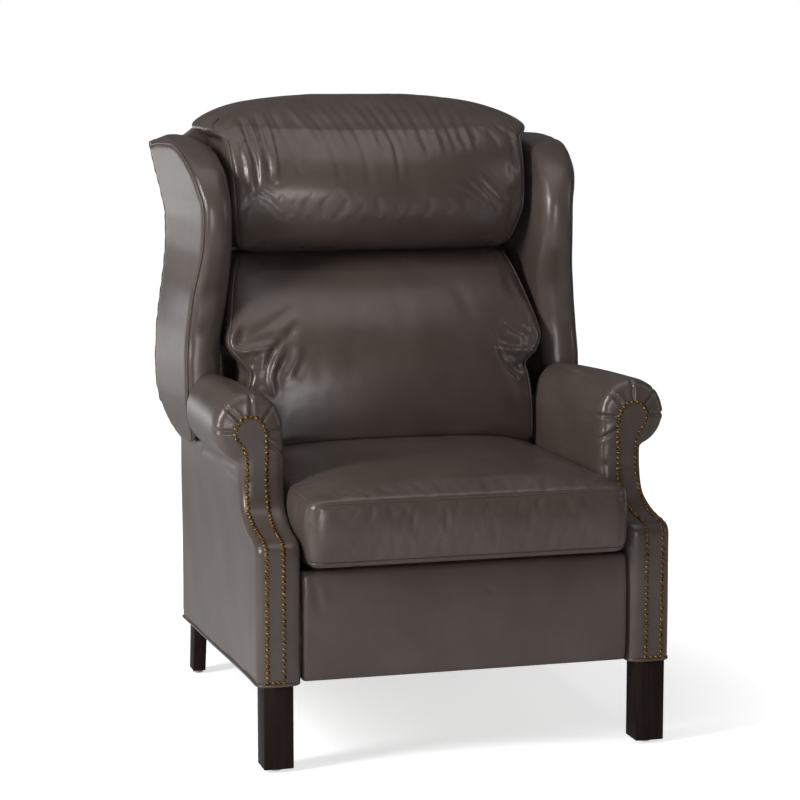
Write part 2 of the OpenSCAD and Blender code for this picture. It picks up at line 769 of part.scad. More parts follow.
// Wing. Rows: share of its height, of its depth at the nose, of its depth cut from the back,
// and shares of its half width at the front edge, at the back edge and inside
wing_shares = [
  [0, 0.361, 0.267, 0.921, 0.924, 0.904], [0.010, 0.476, 0.201, 0.929, 0.934, 0.902],
  [0.031, 0.582, 0.127, 0.936, 0.948, 0.899], [0.065, 0.646, 0.063, 0.948, 0.968, 0.885],
  [0.108, 0.669, 0.018, 0.958, 0.985, 0.845], [0.168, 0.686, 0, 0.966, 0.998, 0.812],
  [0.250, 0.704, 0, 0.966, 1, 0.793], [0.357, 0.717, 0, 0.958, 0.988, 0.783],
  [0.420, 0.741, 0, 0.948, 0.975, 0.769], [0.496, 0.777, 0, 0.936, 0.956, 0.755],
  [0.563, 0.830, 0, 0.919, 0.939, 0.749], [0.652, 0.907, 0, 0.902, 0.924, 0.747],
  [0.739, 0.946, 0, 0.897, 0.921, 0.747], [0.787, 0.954, 0, 0.899, 0.934, 0.749],
  [0.823, 0.942, 0, 0.912, 0.943, 0.752], [0.878, 0.903, 0, 0.929, 0.961, 0.757],
  [0.919, 0.821, 0, 0.941, 0.973, 0.764], [0.955, 0.708, 0, 0.953, 0.983, 0.776],
  [0.978, 0.566, 0, 0.963, 0.983, 0.796], [0.991, 0.412, 0.01, 0.958, 0.973, 0.821],
  [1, 0.258, 0.03, 0.943, 0.958, 0.845]];
wing_nose_d = 26;
wing_side_steps = 3;

function wing_ring(row) =
  let (z = wing_z + wing_h * row[0],
    rear = back_in_y(z) - wing_d * row[2] - soft_gap,
    front = back_in_y(z) - wing_d * row[1],
    x_out = wing_half_w * row[3],
    x_rear = wing_half_w * row[4],
    x_in = wing_half_w * row[5],
    mid = (x_in + x_out) / 2,
    half = (x_out - x_in) / 2)
  concat(
    [for (k = [0:wing_side_steps - 1]) [x_in, mix(rear, front + wing_nose_d, k / wing_side_steps), z]],
    [for (k = [0:nose_steps]) let (a = 180 + 180 * k / nose_steps)
      [mid + half * cos(a), front + wing_nose_d * (1 + sin(a)), z]],
    [for (k = [1:wing_side_steps]) let (t = k / wing_side_steps)
      [mix(x_out, x_rear, t), mix(front + wing_nose_d, rear, t), z]]);

// Wooden board inside a wing, and the slot behind it for the board and the back's rails
wing_board_t = 18;
wing_board_low = 78;
wing_board_drop = 123;
wing_board_h = wing_h - wing_board_drop;
wing_board_d = 150;
board_gap = 0.3;

module wing_board_outline() {
  d = wing_board_d;
  polygon([[-back_panel_t - d / 2, wing_board_low], [-back_panel_t, wing_board_low],
    [-back_panel_t, wing_board_low + wing_board_h],
    [-back_panel_t - d, wing_board_low + wing_board_h - d / 4],
    [-back_panel_t - d, wing_board_low + d]]);
}

module wing_board() {
  color(raw_wood) in_back_plane()
    plate_yz(wing_board_x, wing_board_t) wing_board_outline();
}

module wing() {
  color(leather) difference() {
    skin([for (row = wing_shares) wing_ring(row)]);
    in_back_plane() {
      translate([wing_board_x - board_gap, -back_panel_t - wing_board_d - board_gap,
        wing_board_low - board_gap])
        cube([wing_board_t + 2 * board_gap, wing_board_d + back_panel_t, wing_board_h + 2 * board_gap]);
      translate([0, -back_panel_t - stile_d - board_gap, 0])
        cube([wing_board_x, stile_d + back_panel_t, frame_low + frame_h + board_gap]);
    }
  }
}

// Outside back: it follows the wings' back edges and rises to an arched crest.
// Rows: share of the crest's half width, share of its rise
crest_inset = 76;
crest_half_w = wing_half_w - crest_inset;
crest_rise = 60;
crest_drop = 3;
crest_z = wing_z + wing_h - crest_drop;
crest_shares = [[1, 0], [0.92, 0.33], [0.77, 0.64], [0.58, 0.83], [0.40, 0.92], [0.20, 0.98]];
panel_foot_inset = 35;
panel_foot_half_w = base_half_w - panel_foot_inset;
panel_neck_z = 496;
panel_neck_out = 4;
panel_hip_z = 524;
panel_hip_half_w = base_half_w + face_gap;
first_wing_row = 4;

module outside_back() {
  rows = [for (k = [first_wing_row:len(wing_shares) - 3]) wing_shares[k]];
  right = concat(
    [[panel_foot_half_w, back_panel_z], [panel_foot_half_w + panel_neck_out, panel_neck_z],
      [panel_hip_half_w, panel_hip_z]],
    [for (row = rows) [wing_half_w * row[4], wing_z + wing_h * row[0]]],
    [for (row = crest_shares) [crest_half_w * row[0], crest_z + crest_rise * row[1]]]);
  left = [for (k = [len(right) - 1:-1:0]) [-right[k][0], right[k][1]]];
  outline = [for (p = concat(right, left)) [p[0], (p[1] - wing_z) / cos(back_rake)]];
  color(leather) in_back_plane()
    rotate([90, 0, 0]) linear_extrude(back_panel_t) polygon(outline);
}

// Lumbar cushion, notched at its sides for the arms. Rows: share of its height, of its half width,
// of its depth at the welt, and of its crown
lumbar_crown = 40;
lumbar_corner_r = 24;
lumbar_shares = [[0, 0.830, 0.850, 0.10], [0.018, 0.872, 0.899, 0.40], [0.07, 0.904, 0.933, 0.65],
  [0.21, 0.913, 0.972, 0.85], [0.31, 0.897, 0.998, 0.93], [0.365, 0.878, 0.998, 0.95],
  [0.41, 0.915, 0.994, 0.97], [0.455, 0.965, 0.989, 1], [0.53, 1, 0.968, 1],
  [0.61, 0.987, 0.930, 0.97], [0.745, 0.955, 0.833, 0.88], [0.87, 0.920, 0.730, 0.70],
  [0.955, 0.885, 0.663, 0.48], [0.988, 0.859, 0.622, 0.28], [1, 0.821, 0.573, 0.10]];

function cushion_back_y(z) = back_in_y(z) - (stile_d + spring_cloth_t) / cos(back_rake) - face_gap;

module lumbar_cushion() {
  color(leather) skin([for (row = lumbar_shares)
    let (z = lumbar_z + lumbar_h * row[0])
    crowned_ring(lumbar_half_w * row[1], back_in_y(z) - lumbar_d * row[2], cushion_back_y(z),
      lumbar_corner_r, lumbar_crown * row[3], z)]);
}

// Head pillow, which rolls over the top of the frame. Rows as for the lumbar cushion,
// then the share of its depth by which it stops short of the outside back
pillow_crown = 46;
pillow_corner_r = 24;
pillow_over_share = 0.737;
pillow_shares = [[0, 0.811, 0.664, 0.2, 0.25], [0.02, 0.843, 0.742, 0.5, 0.25],
  [0.09, 0.877, 0.817, 0.83, 0.25],
  [0.20, 0.899, 0.922, 0.98, 0.25], [0.306, 0.912, 0.990, 1, 0.25], [0.488, 0.918, 1, 0.96, 0.25],
  [0.616, 0.925, 0.965, 0.91, 0.25], [0.70, 0.931, 0.915, 0.85, 0.25], [0.735, 0.935, 0.885, 0.82, 0],
  [0.765, 0.995, 0.825, 0.77, 0], [0.80, 1, 0.760, 0.70, 0], [0.848, 0.950, 0.695, 0.60, 0],
  [0.905, 0.843, 0.610, 0.43, 0.01], [0.95, 0.698, 0.542, 0.26, 0.04], [0.98, 0.503, 0.49, 0.13, 0.10],
  [1, 0.283, 0.447, 0.05, 0.19]];

// Height of a row: up to the wings' top the pillow stands before the frame, and above it rolls over
function pillow_row_z(share) =
  let (over_h = wing_z + wing_h - pillow_z)
  pillow_z + (share < pillow_over_share ? over_h * share / pillow_over_share
    : mix(over_h, pillow_h, (share - pillow_over_share) / (1 - pillow_over_share)));

module head_pillow() {
  color(leather) skin([for (row = pillow_shares)
    let (z = pillow_row_z(row[0]))
    crowned_ring(pillow_half_w * row[1], back_in_y(z) - pillow_d * row[2],
      row[4] > 0.2 ? cushion_back_y(z) : back_in_y(z) - soft_gap - pillow_d * row[4],
      pillow_corner_r, pillow_crown * row[3], z)]);
}

// Drive links between the back brackets' lower arms and the seat
drive_pivot = [drive_y, drive_z];
drive_end = [hinge_y - drive_lead, hinge_z - drive_arm - drive_slack];
drive_len = norm(drive_end - drive_pivot);

module drive_links() {
  turn = atan2(drive_end[1] - drive_z, drive_end[0] - drive_y);
  color(steel)
    for (side = [0, 1]) mirror([side, 0, 0])
      plate_yz(drive_x, link_t) translate(drive_pivot) rotate(turn) difference() {
        union() {
          circle(r = link_w / 2, $fn = bore_fn);
          translate([0, -link_w / 2]) square([drive_len, link_w]);
          translate([drive_len, 0]) circle(r = link_w / 2, $fn = bore_fn);
        }
        circle(r = drive_bore_r, $fn = bore_fn);
        translate([drive_len, 0]) circle(r = drive_bore_r + drive_slot_gap, $fn = bore_fn);
      }
}

// Footrest linkage
lift_pivot = [-lift_pivot_y, lift_pivot_z];
reach_pivot = [-lift_pivot_y, lift_pivot_z - lift_len];
pad_t = 17;
pad_setback = 4;
pad_front_y = post_front_y - pad_setback;
foot_board_t = 15;
foot_board_y = -pad_front_y + pad_t + face_gap;
foot_pivot_gap = 2;
foot_pivot_drop = 16;
foot_pivot = [foot_board_y + foot_board_t + link_w / 2 + foot_pivot_gap, foot_z + foot_h - foot_pivot_drop];
reach_x = lift_x + link_t + face_gap;
foot_bracket_x = reach_x + link_t + face_gap;
reach_bore_r = 5;
bracket_plate_t = 3;

module lift_links() {
  color(steel)
    for (side = [0, 1]) mirror([side, 0, 0]) union() {
      difference() {
        plate_yz(lift_x, link_t) link_outline(lift_pivot, reach_pivot, link_w, lift_bore_r);
        bar_x(lift_x - cut_over, reach_pivot[0], reach_pivot[1], link_t + 2 * cut_over,
          reach_bore_r - pin_gap);
      }
      bar_x(lift_x, reach_pivot[0], reach_pivot[1], reach_x + link_t + stud_end - lift_x,
        reach_bore_r - pin_gap);
      bar_x(lift_x, reach_pivot[0], reach_pivot[1], link_t, lift_bore_r + stud_end);
    }
}

module reach_links() {
  color(steel)
    for (side = [0, 1]) mirror([side, 0, 0]) union() {
      plate_yz(reach_x, link_t) difference() {
        link_outline(reach_pivot, foot_pivot, link_w, reach_bore_r);
        translate(reach_pivot) circle(r = reach_bore_r, $fn = bore_fn);
      }
      bar_x(reach_x, foot_pivot[0], foot_pivot[1], link_t, reach_bore_r + stud_end);
      bar_x(reach_x, foot_pivot[0], foot_pivot[1], foot_bracket_x + bracket_plate_t + stud_end - reach_x,
        reach_bore_r - pin_gap);
    }
}

// Footrest panel
foot_board_inset = 8;
pad_shares = [[0, 0.966, 0.40], [0.026, 0.990, 0.75], [0.12, 1, 0.93], [0.5, 1, 1],
  [0.88, 1, 0.93], [0.974, 0.990, 0.75], [1, 0.966, 0.40]];
pad_corner_r = 4;
foot_bracket_w = 60;
foot_bracket_h = 70;

module footrest_board() {
  color(raw_wood)
    translate([-foot_half_w + foot_board_inset, foot_board_y, foot_z + foot_board_inset])
      cube([2 * (foot_half_w - foot_board_inset), foot_board_t, foot_h - 2 * foot_board_inset]);
}

module footrest_pad() {
  color(leather) skin([for (row = pad_shares)
    crowned_ring(foot_half_w * row[1], foot_board_y - pad_t * row[2], foot_board_y,
      pad_corner_r, face_gap, foot_z + foot_h * row[0])]);
}

module footrest_brackets() {
  rear = foot_board_y + foot_board_t;
  flange_z = foot_pivot[1] - foot_bracket_h;
  color(steel)
    for (side = [0, 1]) mirror([side, 0, 0]) difference() {
      union() {
        plate_yz(foot_bracket_x, bracket_plate_t) {
          polygon([[rear, flange_z], [foot_pivot[0], foot_pivot[1] - link_w / 2],
            [foot_pivot[0], foot_pivot[1]], [rear, foot_pivot[1]]]);
          translate(foot_pivot) circle(r = link_w / 2, $fn = bore_fn);
          translate([rear, foot_pivot[1]]) square([foot_pivot[0] - rear, link_w / 2 - face_gap]);
        }
        translate([foot_bracket_x + bracket_plate_t - foot_bracket_w, rear, flange_z])
          cube([foot_bracket_w, bracket_plate_t, foot_bracket_h - link_w]);
      }
      bar_x(foot_bracket_x - cut_over, foot_pivot[0], foot_pivot[1], bracket_plate_t + 2 * cut_over,
        reach_bore_r);
    }
}

// Brass nails up both edges of each facing, round its head and across its foot
nail_h = 1.6;
nail_inset = 3.5;
nail_row_z = 6;
nail_lift = 0.5;

// Length of a path up to its point k
function path_len(path, k) = k == 0 ? 0 : path_len(path, k - 1) + norm(path[k] - path[k - 1]);

// Point k of the path's piece that holds distance s
function path_piece(path, s, k = 1) =
  k == len(path) - 1 || path_len(path, k) >= s ? k : path_piece(path, s, k + 1);

module nail() {
  translate([0, 0, nail_lift]) cylinder(h = nail_h, r1 = nail_r, r2 = nail_r / 2, $fn = 16);
}

// Point of a path at distance s along it
function path_point(path, s) =
  let (k = path_piece(path, s), a = path[k - 1], b = path[k])
  mix(a, b, (s - path_len(path, k - 1)) / norm(b - a));

// One row of nails up the facing at x, to height top_z. A nail in a hollow stands on its edges
module nail_row(x, top_z) {
  rise = path_len(facing_line, len(facing_line) - 1) - (facing_head_z - top_z);
  count = round((rise - nail_row_z) / nail_pitch);
  for (k = [0:count]) {
    s = mix(nail_row_z, rise, k / count);
    a = path_point(facing_line, s - nail_r);
    b = path_point(facing_line, s + nail_r);
    out = [a[1] - b[1], b[0] - a[0]] / norm(b - a);
    at = path_point(facing_line, s);
    hollow = max(0, ((a + b) / 2 - at) * out);
    translate([x, at[0] + hollow * out[0], at[1] + hollow * out[1]])
      rotate([atan2(b[1] - a[1], b[0] - a[0]), 0, 0]) nail();
  }
}

module nail_trim() {
  inner_x = facing_x + nail_inset;
  outer_x = facing_x + facing_w - nail_inset;
  ring_r = facing_head_r - nail_inset;
  first_a = -acos((outer_x - facing_head_x) / ring_r);
  last_a = 180 + acos((facing_head_x - inner_x) / ring_r);
  count = round(PI * ring_r * (last_a - first_a) / 180 / nail_pitch);
  foot_count = round((outer_x - inner_x) / nail_pitch);
  color(brass)
    for (side = [0, 1]) mirror([side, 0, 0]) {
      nail_row(inner_x, facing_head_z + ring_r * sin(last_a) - nail_pitch);
      nail_row(outer_x, facing_head_z + ring_r * sin(first_a) - nail_pitch);
      for (k = [0:count]) let (a = mix(first_a, last_a, k / count))
        translate([facing_head_x + ring_r * cos(a), -scroll_front_y - facing_head_t,
          facing_head_z + ring_r * sin(a)]) rotate([90, 0, 0]) nail();
      for (k = [1:foot_count - 1])
        translate([mix(inner_x, outer_x, k / foot_count), -post_front_y - facing_t, leg_h + nail_row_z])
          rotate([90, 0, 0]) nail();
    }
}

on_left() front_leg();  // front_leg_left
front_leg();  // front_leg_right
on_left() rear_leg();  // rear_leg_left
rear_leg();  // rear_leg_right
leg_glides();
on_left() side_rail();  // side_rail_left
side_rail();  // side_rail_right
front_rail();
rear_rail();
corner_blocks();
base_rear_panel();
on_left() outside_arm();  // outside_arm_left
outside_arm();  // outside_arm_right
on_left() inside_arm();  // inside_arm_left
inside_arm();  // inside_arm_right
on_left() arm_roll();  // arm_roll_left
arm_roll();  // arm_roll_right
on_left() arm_rail();  // arm_rail_left
arm_rail();  // arm_rail_right
arm_stumps();
on_left() front_post();  // front_post_left
front_post();  // front_post_right
on_left() arm_facing();  // arm_facing_left
arm_facing();  // arm_facing_right
nail_trim();
base_welts();
on_left() track();  // track_left
track();  // track_right
on_left() pivot_plate();  // pivot_plate_left
pivot_plate();  // pivot_plate_right
seat_side_rails();
seat_cross_rails();
seat_springs();
seat_deck();
seat_cushion();
on_left() seat_plate();  // seat_plate_left
seat_plate();  // seat_plate_right
seat_rollers();
back_stiles();
back_rails();
back_spring_cloth();
on_left() back_bracket();  // back_bracket_left
back_bracket();  // back_bracket_right
on_left() wing();  // wing_left
wing();  // wing_right
on_left() wing_board();  // wing_board_left
wing_board();  // wing_board_right
outside_back();
lumbar_cushion();
head_pillow();
drive_links();
lift_links();
reach_links();
footrest_board();
footrest_pad();
footrest_brackets();
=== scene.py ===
"""Dresses a push-back wing recliner: leather skins, stuffed cushions, welts, brass nails and lacquered legs."""

import functools
import json
import math
from contextlib import contextmanager

import bmesh
import bpy
import numpy as np
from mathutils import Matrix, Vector
from mathutils.bvhtree import BVHTree
from mathutils.kdtree import KDTree


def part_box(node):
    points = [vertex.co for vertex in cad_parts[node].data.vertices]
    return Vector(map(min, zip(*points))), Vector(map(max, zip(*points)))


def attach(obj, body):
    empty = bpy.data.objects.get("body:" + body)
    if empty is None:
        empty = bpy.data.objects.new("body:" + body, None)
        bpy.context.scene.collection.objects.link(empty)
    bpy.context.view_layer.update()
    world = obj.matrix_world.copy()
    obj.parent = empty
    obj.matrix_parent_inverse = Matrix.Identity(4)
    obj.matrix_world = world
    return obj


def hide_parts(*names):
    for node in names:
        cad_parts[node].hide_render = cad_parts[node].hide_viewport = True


bl_info = {
    "name": "Wing Recliner",
    "version": (1, 0, 0),
    "blender": (4, 5, 0),
    "location": "View3D > Sidebar > Recliner",
    "description": "Leather, cushions, welts, nails and legs of a wing recliner",
    "category": "Add Mesh",
}

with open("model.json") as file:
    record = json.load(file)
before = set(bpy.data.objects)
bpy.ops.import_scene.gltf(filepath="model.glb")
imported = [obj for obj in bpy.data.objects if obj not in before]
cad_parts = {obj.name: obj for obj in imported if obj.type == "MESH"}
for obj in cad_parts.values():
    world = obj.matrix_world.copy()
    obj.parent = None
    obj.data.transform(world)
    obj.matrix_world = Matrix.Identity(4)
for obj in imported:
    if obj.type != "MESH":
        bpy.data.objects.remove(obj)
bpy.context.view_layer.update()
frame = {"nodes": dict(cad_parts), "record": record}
mm = 0.001
sides = {"left": -1, "right": 1}

# Seams: how wide the hide draws in along one, and how far a front seam lies inside its corner
seam_width = 5 * mm
seam_inset = 3 * mm

# The back leans by this angle. The foot of its outside panel is given as y and z
lean = math.radians(9.3)
panel_foot = (337 * mm, 482 * mm)
panel_thickness = 12 * mm / math.cos(lean)


def back_face(z):
    """Inner face of the outside back at height z."""
    return panel_foot[0] + (z - panel_foot[1]) * math.tan(lean) - panel_thickness


def colour_prop(name, description, default):
    return bpy.props.StringProperty(name=name, description=description, default=default)


def length_prop(name, description, default, low, high):
    return bpy.props.FloatProperty(name=name, description=description, default=default, min=low, max=high,
                                   unit="LENGTH")


class ReclinerColours(bpy.types.PropertyGroup):
    """Colours of the chair's finishes, as sRGB hex codes."""

    leather: colour_prop("Leather", "Body of the hide", "514641")
    leather_light: colour_prop("Leather, rubbed", "Paler mottling", "5a4f4a")
    espresso: colour_prop("Espresso", "Lacquered legs", "1a110f")
    espresso_light: colour_prop("Espresso, figure", "Paler figure of the legs", "2c1f1c")
    # Paler, redder edges of the legs: wear through to the stain, and a painted highlight along the bevels
    edge_wear_and_highlight: colour_prop("Rubbed edge", "Worn edges of the legs", "3f221b")
    edge_wear_and_highlight_figure: colour_prop("Rubbed edge, figure", "Paler figure of the worn edges", "54301f")
    brass: colour_prop("Brass", "Crowns of the nail heads", "947444")
    brass_dark: colour_prop("Brass, patina", "Hollows of the nail heads", "4a351d")
    frame_wood: colour_prop("Frame wood", "Dip-stained hardwood", "5e4733")
    frame_wood_dark: colour_prop("Frame wood, grain", "Darker grain", "493526")
    steel: colour_prop("Steel", "Oiled mechanism", "55585b")
    steel_dark: colour_prop("Steel, marks", "Rolling marks", "3a3c3e")
    nylon: colour_prop("Nylon", "Glides and rollers", "d9d6cc")
    nylon_dark: colour_prop("Nylon, cloud", "Cloudy places", "cbc8bd")
    cloth: colour_prop("Deck cloth", "Threads", "b9ad98")
    cloth_dark: colour_prop("Deck cloth, gaps", "Gaps between the threads", "8d8371")
    floor: colour_prop("Floor", "Studio floor", "f4f4f4")


class ReclinerSizes(bpy.types.PropertyGroup):
    """Sizes that a maker would change."""

    welt_radius: length_prop("Welt", "Radius of a self welt of the back", 2.2 * mm, 1 * mm, 6 * mm)
    nail_radius: length_prop("Nail head", "Radius of a nail head", 4.104 * mm, 2 * mm, 6 * mm)
    nail_pitch: length_prop("Nail pitch", "Distance between nails", 9.7 * mm, 8 * mm, 30 * mm)
    grain: length_prop("Grain", "Width of a cell of the hide's grain", 2.6 * mm, 1 * mm, 6 * mm)
    voxel: length_prop("Skin mesh", "Mesh size of a leather skin", 5 * mm, 3 * mm, 12 * mm)
    puff: length_prop("Puff", "Most that a cushion swells", 4 * mm, 0, 30 * mm)
    lens: bpy.props.FloatProperty(
        name="Lens", description="Focal length of the view", default=110.47, min=20, max=300, unit="CAMERA")


def sizes():
    return bpy.context.scene.recliner_sizes


def colours():
    return bpy.context.scene.recliner_colours


# ---- selection and modifiers


def only(obj):
    """Selects one object alone and makes it active."""
    if bpy.context.mode != "OBJECT":
        bpy.ops.object.mode_set(mode="OBJECT")
    bpy.ops.object.select_all(action="DESELECT")
    obj.select_set(True)
    bpy.context.view_layer.objects.active = obj


@contextmanager
def editing(obj):
    """Edit mode on one object, with its whole mesh selected."""
    only(obj)
    bpy.ops.object.mode_set(mode="EDIT")
    bpy.ops.mesh.select_all(action="SELECT")
    yield
    bpy.ops.object.mode_set(mode="OBJECT")


def finish_with(obj, kind, **settings):
    """Adds a modifier and applies it."""
    only(obj)
    modifier = obj.modifiers.new(kind, kind)
    for key, value in settings.items():
        setattr(modifier, key, value)
    bpy.ops.object.modifier_apply(modifier=modifier.name)


def points_of(obj):
    places = np.empty(len(obj.data.vertices) * 3)
    obj.data.vertices.foreach_get("co", places)
    return places.reshape(-1, 3)


def normals_of(obj):
    values = np.empty(len(obj.data.vertices) * 3)
    obj.data.vertices.foreach_get("normal", values)
    return values.reshape(-1, 3)


def move_points(obj, places):
    obj.data.vertices.foreach_set("co", np.ascontiguousarray(places, dtype=np.float64).ravel())
    obj.data.update()


def placed(name, data):
    """A new object in the scene."""
    obj = bpy.data.objects.new(name, data)
    bpy.context.collection.objects.link(obj)
    return obj


def mesh_piece(name, places, faces):
    mesh = bpy.data.meshes.new(name)
    mesh.from_pydata([tuple(p) for p in places], [], [tuple(f) for f in faces])
    mesh.update()
    return placed(name, mesh)


def node_copy(name, node):
    """A new mesh from a CAD node, with its doubles merged."""
    source = frame["nodes"][node].data
    return clean(mesh_piece(name, [v.co for v in source.vertices], [p.vertices for p in source.polygons]))


def clean(obj):
    with editing(obj):
        bpy.ops.mesh.remove_doubles(threshold=0.02 * mm)
        bpy.ops.mesh.normals_make_consistent(inside=False)
    return obj


def joined(name, *pieces):
    only(pieces[0])
    for piece in pieces[1:]:
        piece.select_set(True)
    bpy.ops.object.join()
    pieces[0].name = name
    pieces[0].data.name = name
    return pieces[0]


def mirrored(obj, name):
    """The same piece on the other side of the chair, with its own mesh."""
    mesh = obj.data.copy()
    mesh.name = name
    twin = placed(name, mesh)
    places = points_of(twin)
    places[:, 0] *= -1
    move_points(twin, places)
    with editing(twin):
        bpy.ops.mesh.flip_normals()
    return twin


# ---- forms


def smooth_table(rows, places):
    """The columns of a table at new places of its first column, without overshoot."""
    rows = np.array(rows, float)
    x, y = rows[:, 0], rows[:, 1:]
    run = np.diff(x)
    slope = np.diff(y, axis=0) / run[:, None]
    tangent = np.zeros_like(y)
    tangent[0], tangent[-1] = slope[0], slope[-1]
    for k in range(1, len(x) - 1):
        a, b = slope[k - 1], slope[k]
        w1, w2 = 2 * run[k] + run[k - 1], run[k] + 2 * run[k - 1]
        same = a * b > 0
        tangent[k][same] = ((w1 + w2) / (w1 / a[same] + w2 / b[same]))
    places = np.asarray(places, float)
    at = np.clip(np.searchsorted(x, places) - 1, 0, len(x) - 2)
    h = run[at][:, None]
    t = ((places - x[at]) / run[at])[:, None]
    return ((1 + 2 * t) * (1 - t) ** 2 * y[at] + t * (1 - t) ** 2 * h * tangent[at]
            + t * t * (3 - 2 * t) * y[at + 1] + t * t * (t - 1) * h * tangent[at + 1])


def loft(name, rings):
    """A closed skin over rings of equal count, with a fan at each end."""
    rings = np.array(rings, float)
    count, around = rings.shape[:2]
    places = list(rings.reshape(-1, 3)) + [rings[0].mean(0), rings[-1].mean(0)]
    faces = []
    for i in range(count - 1):
        for j in range(around):
            a, b = i * around + j, i * around + (j + 1) % around
            faces.append((a, b, b + around, a + around))
    first, last = count * around, count * around + 1
    for j in range(around):
        faces.append((first, (j + 1) % around, j))
        faces.append((last, (count - 1) * around + j, (count - 1) * around + (j + 1) % around))
    return clean(mesh_piece(name, places, faces))


def rounded_box_ring(x0, x1, y0, y1, radius, along=10):
    """A level rounded rectangle, counter-clockwise from the right end of its front."""
    turn = 6
    corners = [(x1 - radius, y0 + radius, -90), (x1 - radius, y1 - radius, 0),
               (x0 + radius, y1 - radius, 90), (x0 + radius, y0 + radius, 180)]
    arcs = [[(cx + radius * math.cos(math.radians(start + 90 * t / turn)),
              cy + radius * math.sin(math.radians(start + 90 * t / turn))) for t in range(turn + 1)]
            for cx, cy, start in corners]
    ring = []
    for arc, following in zip(arcs, arcs[1:] + arcs[:1]):
        (ax, ay), (bx, by) = arc[-1], following[0]
        ring += arc + [(ax + (bx - ax) * t / along, ay + (by - ay) * t / along) for t in range(1, along)]
    return ring


def crowned_ring(edge, front, rear, rise, z, widen=None):
    """A level section of a back cushion, whose front swells forward by rise in its middle."""
    ring = []
    for x, y in rounded_box_ring(-edge, edge, front, rear, 12 * mm, along=16):
        u, v = x / edge, (rear - y) / (rear - front)
        ring.append((widen(x, y, z, edge, front) if widen else x, y - rise * (1 - u * u) * v, z))
    return ring


def skin_over(obj, rounds, voxel=None):
    """Turns a rough form into an even, softened skin."""
    finish_with(obj, "REMESH", mode="VOXEL", voxel_size=voxel or sizes().voxel, use_smooth_shade=True)
    finish_with(obj, "SMOOTH", factor=0.5, iterations=rounds)
    return obj


def swell(obj, held):
    """Stuffs a skin: pressure from inside, with the points in held kept where the seams hold them."""
    frames = 12
    before = points_of(obj)
    only(obj)
    cloth = obj.modifiers.new("Stuffing", "CLOTH")
    settings = cloth.settings
    settings.quality = 4
    settings.mass = 0.3
    settings.air_damping = 2.0
    settings.tension_stiffness = settings.compression_stiffness = 14
    settings.shear_stiffness = 6
    settings.bending_stiffness = 0.6
    settings.use_pressure = True
    settings.uniform_pressure_force = 2.0
    settings.shrink_min = -0.003
    settings.effector_weights.gravity = 0
    group = obj.vertex_groups.new(name="seams")
    held = np.round(held, 2)
    for weight in np.unique(held):
        if weight > 0:
            group.add([int(k) for k in np.flatnonzero(held == weight)], float(weight), "REPLACE")
    settings.vertex_group_mass = group.name
    cloth.point_cache.frame_start, cloth.point_cache.frame_end = 1, frames
    for k in range(1, frames + 1):
        bpy.context.scene.frame_set(k)
    bpy.ops.object.modifier_apply(modifier=cloth.name)
    bpy.context.scene.frame_set(1)
    shift = points_of(obj) - before
    reach = np.linalg.norm(shift, axis=1, keepdims=True)
    shift *= np.minimum(1, sizes().puff / np.maximum(reach, 1e-9))
    move_points(obj, before + shift)
    obj.vertex_groups.clear()


def fine(obj):
    """One more subdivision, eased."""
    finish_with(obj, "SUBSURF", levels=1, render_levels=1)
    finish_with(obj, "SMOOTH", factor=0.4, iterations=2)


def bump_of(distance, width):
    return np.exp(-(distance / width) ** 2)


def nearest_in(path):
    """A search tree over the points of a path."""
    tree = KDTree(len(path))
    for k, p in enumerate(path):
        tree.insert(p, k)
    tree.balance()
    return tree


def press_seam(obj, path, depth):
    """Draws the skin in along a seam."""
    tree = nearest_in(path)
    places, normals = points_of(obj), normals_of(obj)
    near = np.array([tree.find(p)[2] for p in places])
    move_points(obj, places - normals * (depth * bump_of(near, seam_width))[:, None])


def press_folds(obj, folds, facing=-0.15):
    """Creases a skin that faces the front. Each fold is (x, z) to (x, z), its width and its depth."""
    places, normals = points_of(obj), normals_of(obj)
    lift = np.zeros(len(places))
    front = np.clip((facing - normals[:, 1]) / 0.3, 0, 1)
    for (x0, z0), (x1, z1), width, depth in folds:
        run = np.array([x1 - x0, z1 - z0])
        length = np.linalg.norm(run)
        run = run / length
        away = places[:, [0, 2]] - (x0, z0)
        t = away @ run
        off = away @ np.array([-run[1], run[0]])
        bend = off - 0.12 * width * np.sin(t / length * 5)
        share = np.clip(t / length, 0, 1)
        fade = np.clip(np.sin(math.pi * share), 0, 1) ** 0.7
        lift -= depth * fade * (bump_of(bend, width) - 0.45 * bump_of(bend - 1.9 * width, 1.3 * width)
                                - 0.45 * bump_of(bend + 1.9 * width, 1.3 * width))
    move_points(obj, places + normals * (lift * front)[:, None])


def press_line(obj, line, width, height):
    """Draws a ridge, or with a negative height a crease, along a line of (x, z) on a skin that faces the front."""
    places, normals = points_of(obj), normals_of(obj)
    path = run_through([(x, z, 0) for x, z in line], 2 * mm)
    tree = nearest_in(path)
    near, at = np.empty(len(places)), np.empty(len(places))
    for k, (x, _, z) in enumerate(places):
        _, index, near[k] = tree.find((x, z, 0))
        at[k] = index / (len(path) - 1)
    fade = np.clip(np.sin(math.pi * np.clip(at * 0.86 + 0.07, 0, 1)) * 1.6, 0, 1)
    front = np.clip((0.35 - normals[:, 1]) / 0.4, 0, 1)
    lift = height * fade * front * (bump_of(near, width) - 0.35 * bump_of(near - 2.1 * width, 1.2 * width))
    move_points(obj, places + normals * lift[:, None])


def stuff_and_sew(obj, held, gathers, edges, folds=()):
    """Swells a cushion of the back, then draws in its gathers, its folds and the seams down its sides."""
    swell(obj, held)
    fine(obj)
    for line, width, height in gathers:
        press_line(obj, line, width * mm, height * mm)
    if folds:
        press_folds(obj, folds)
    for path in edges.values():
        press_seam(obj, run_through(path), 2.0 * mm)


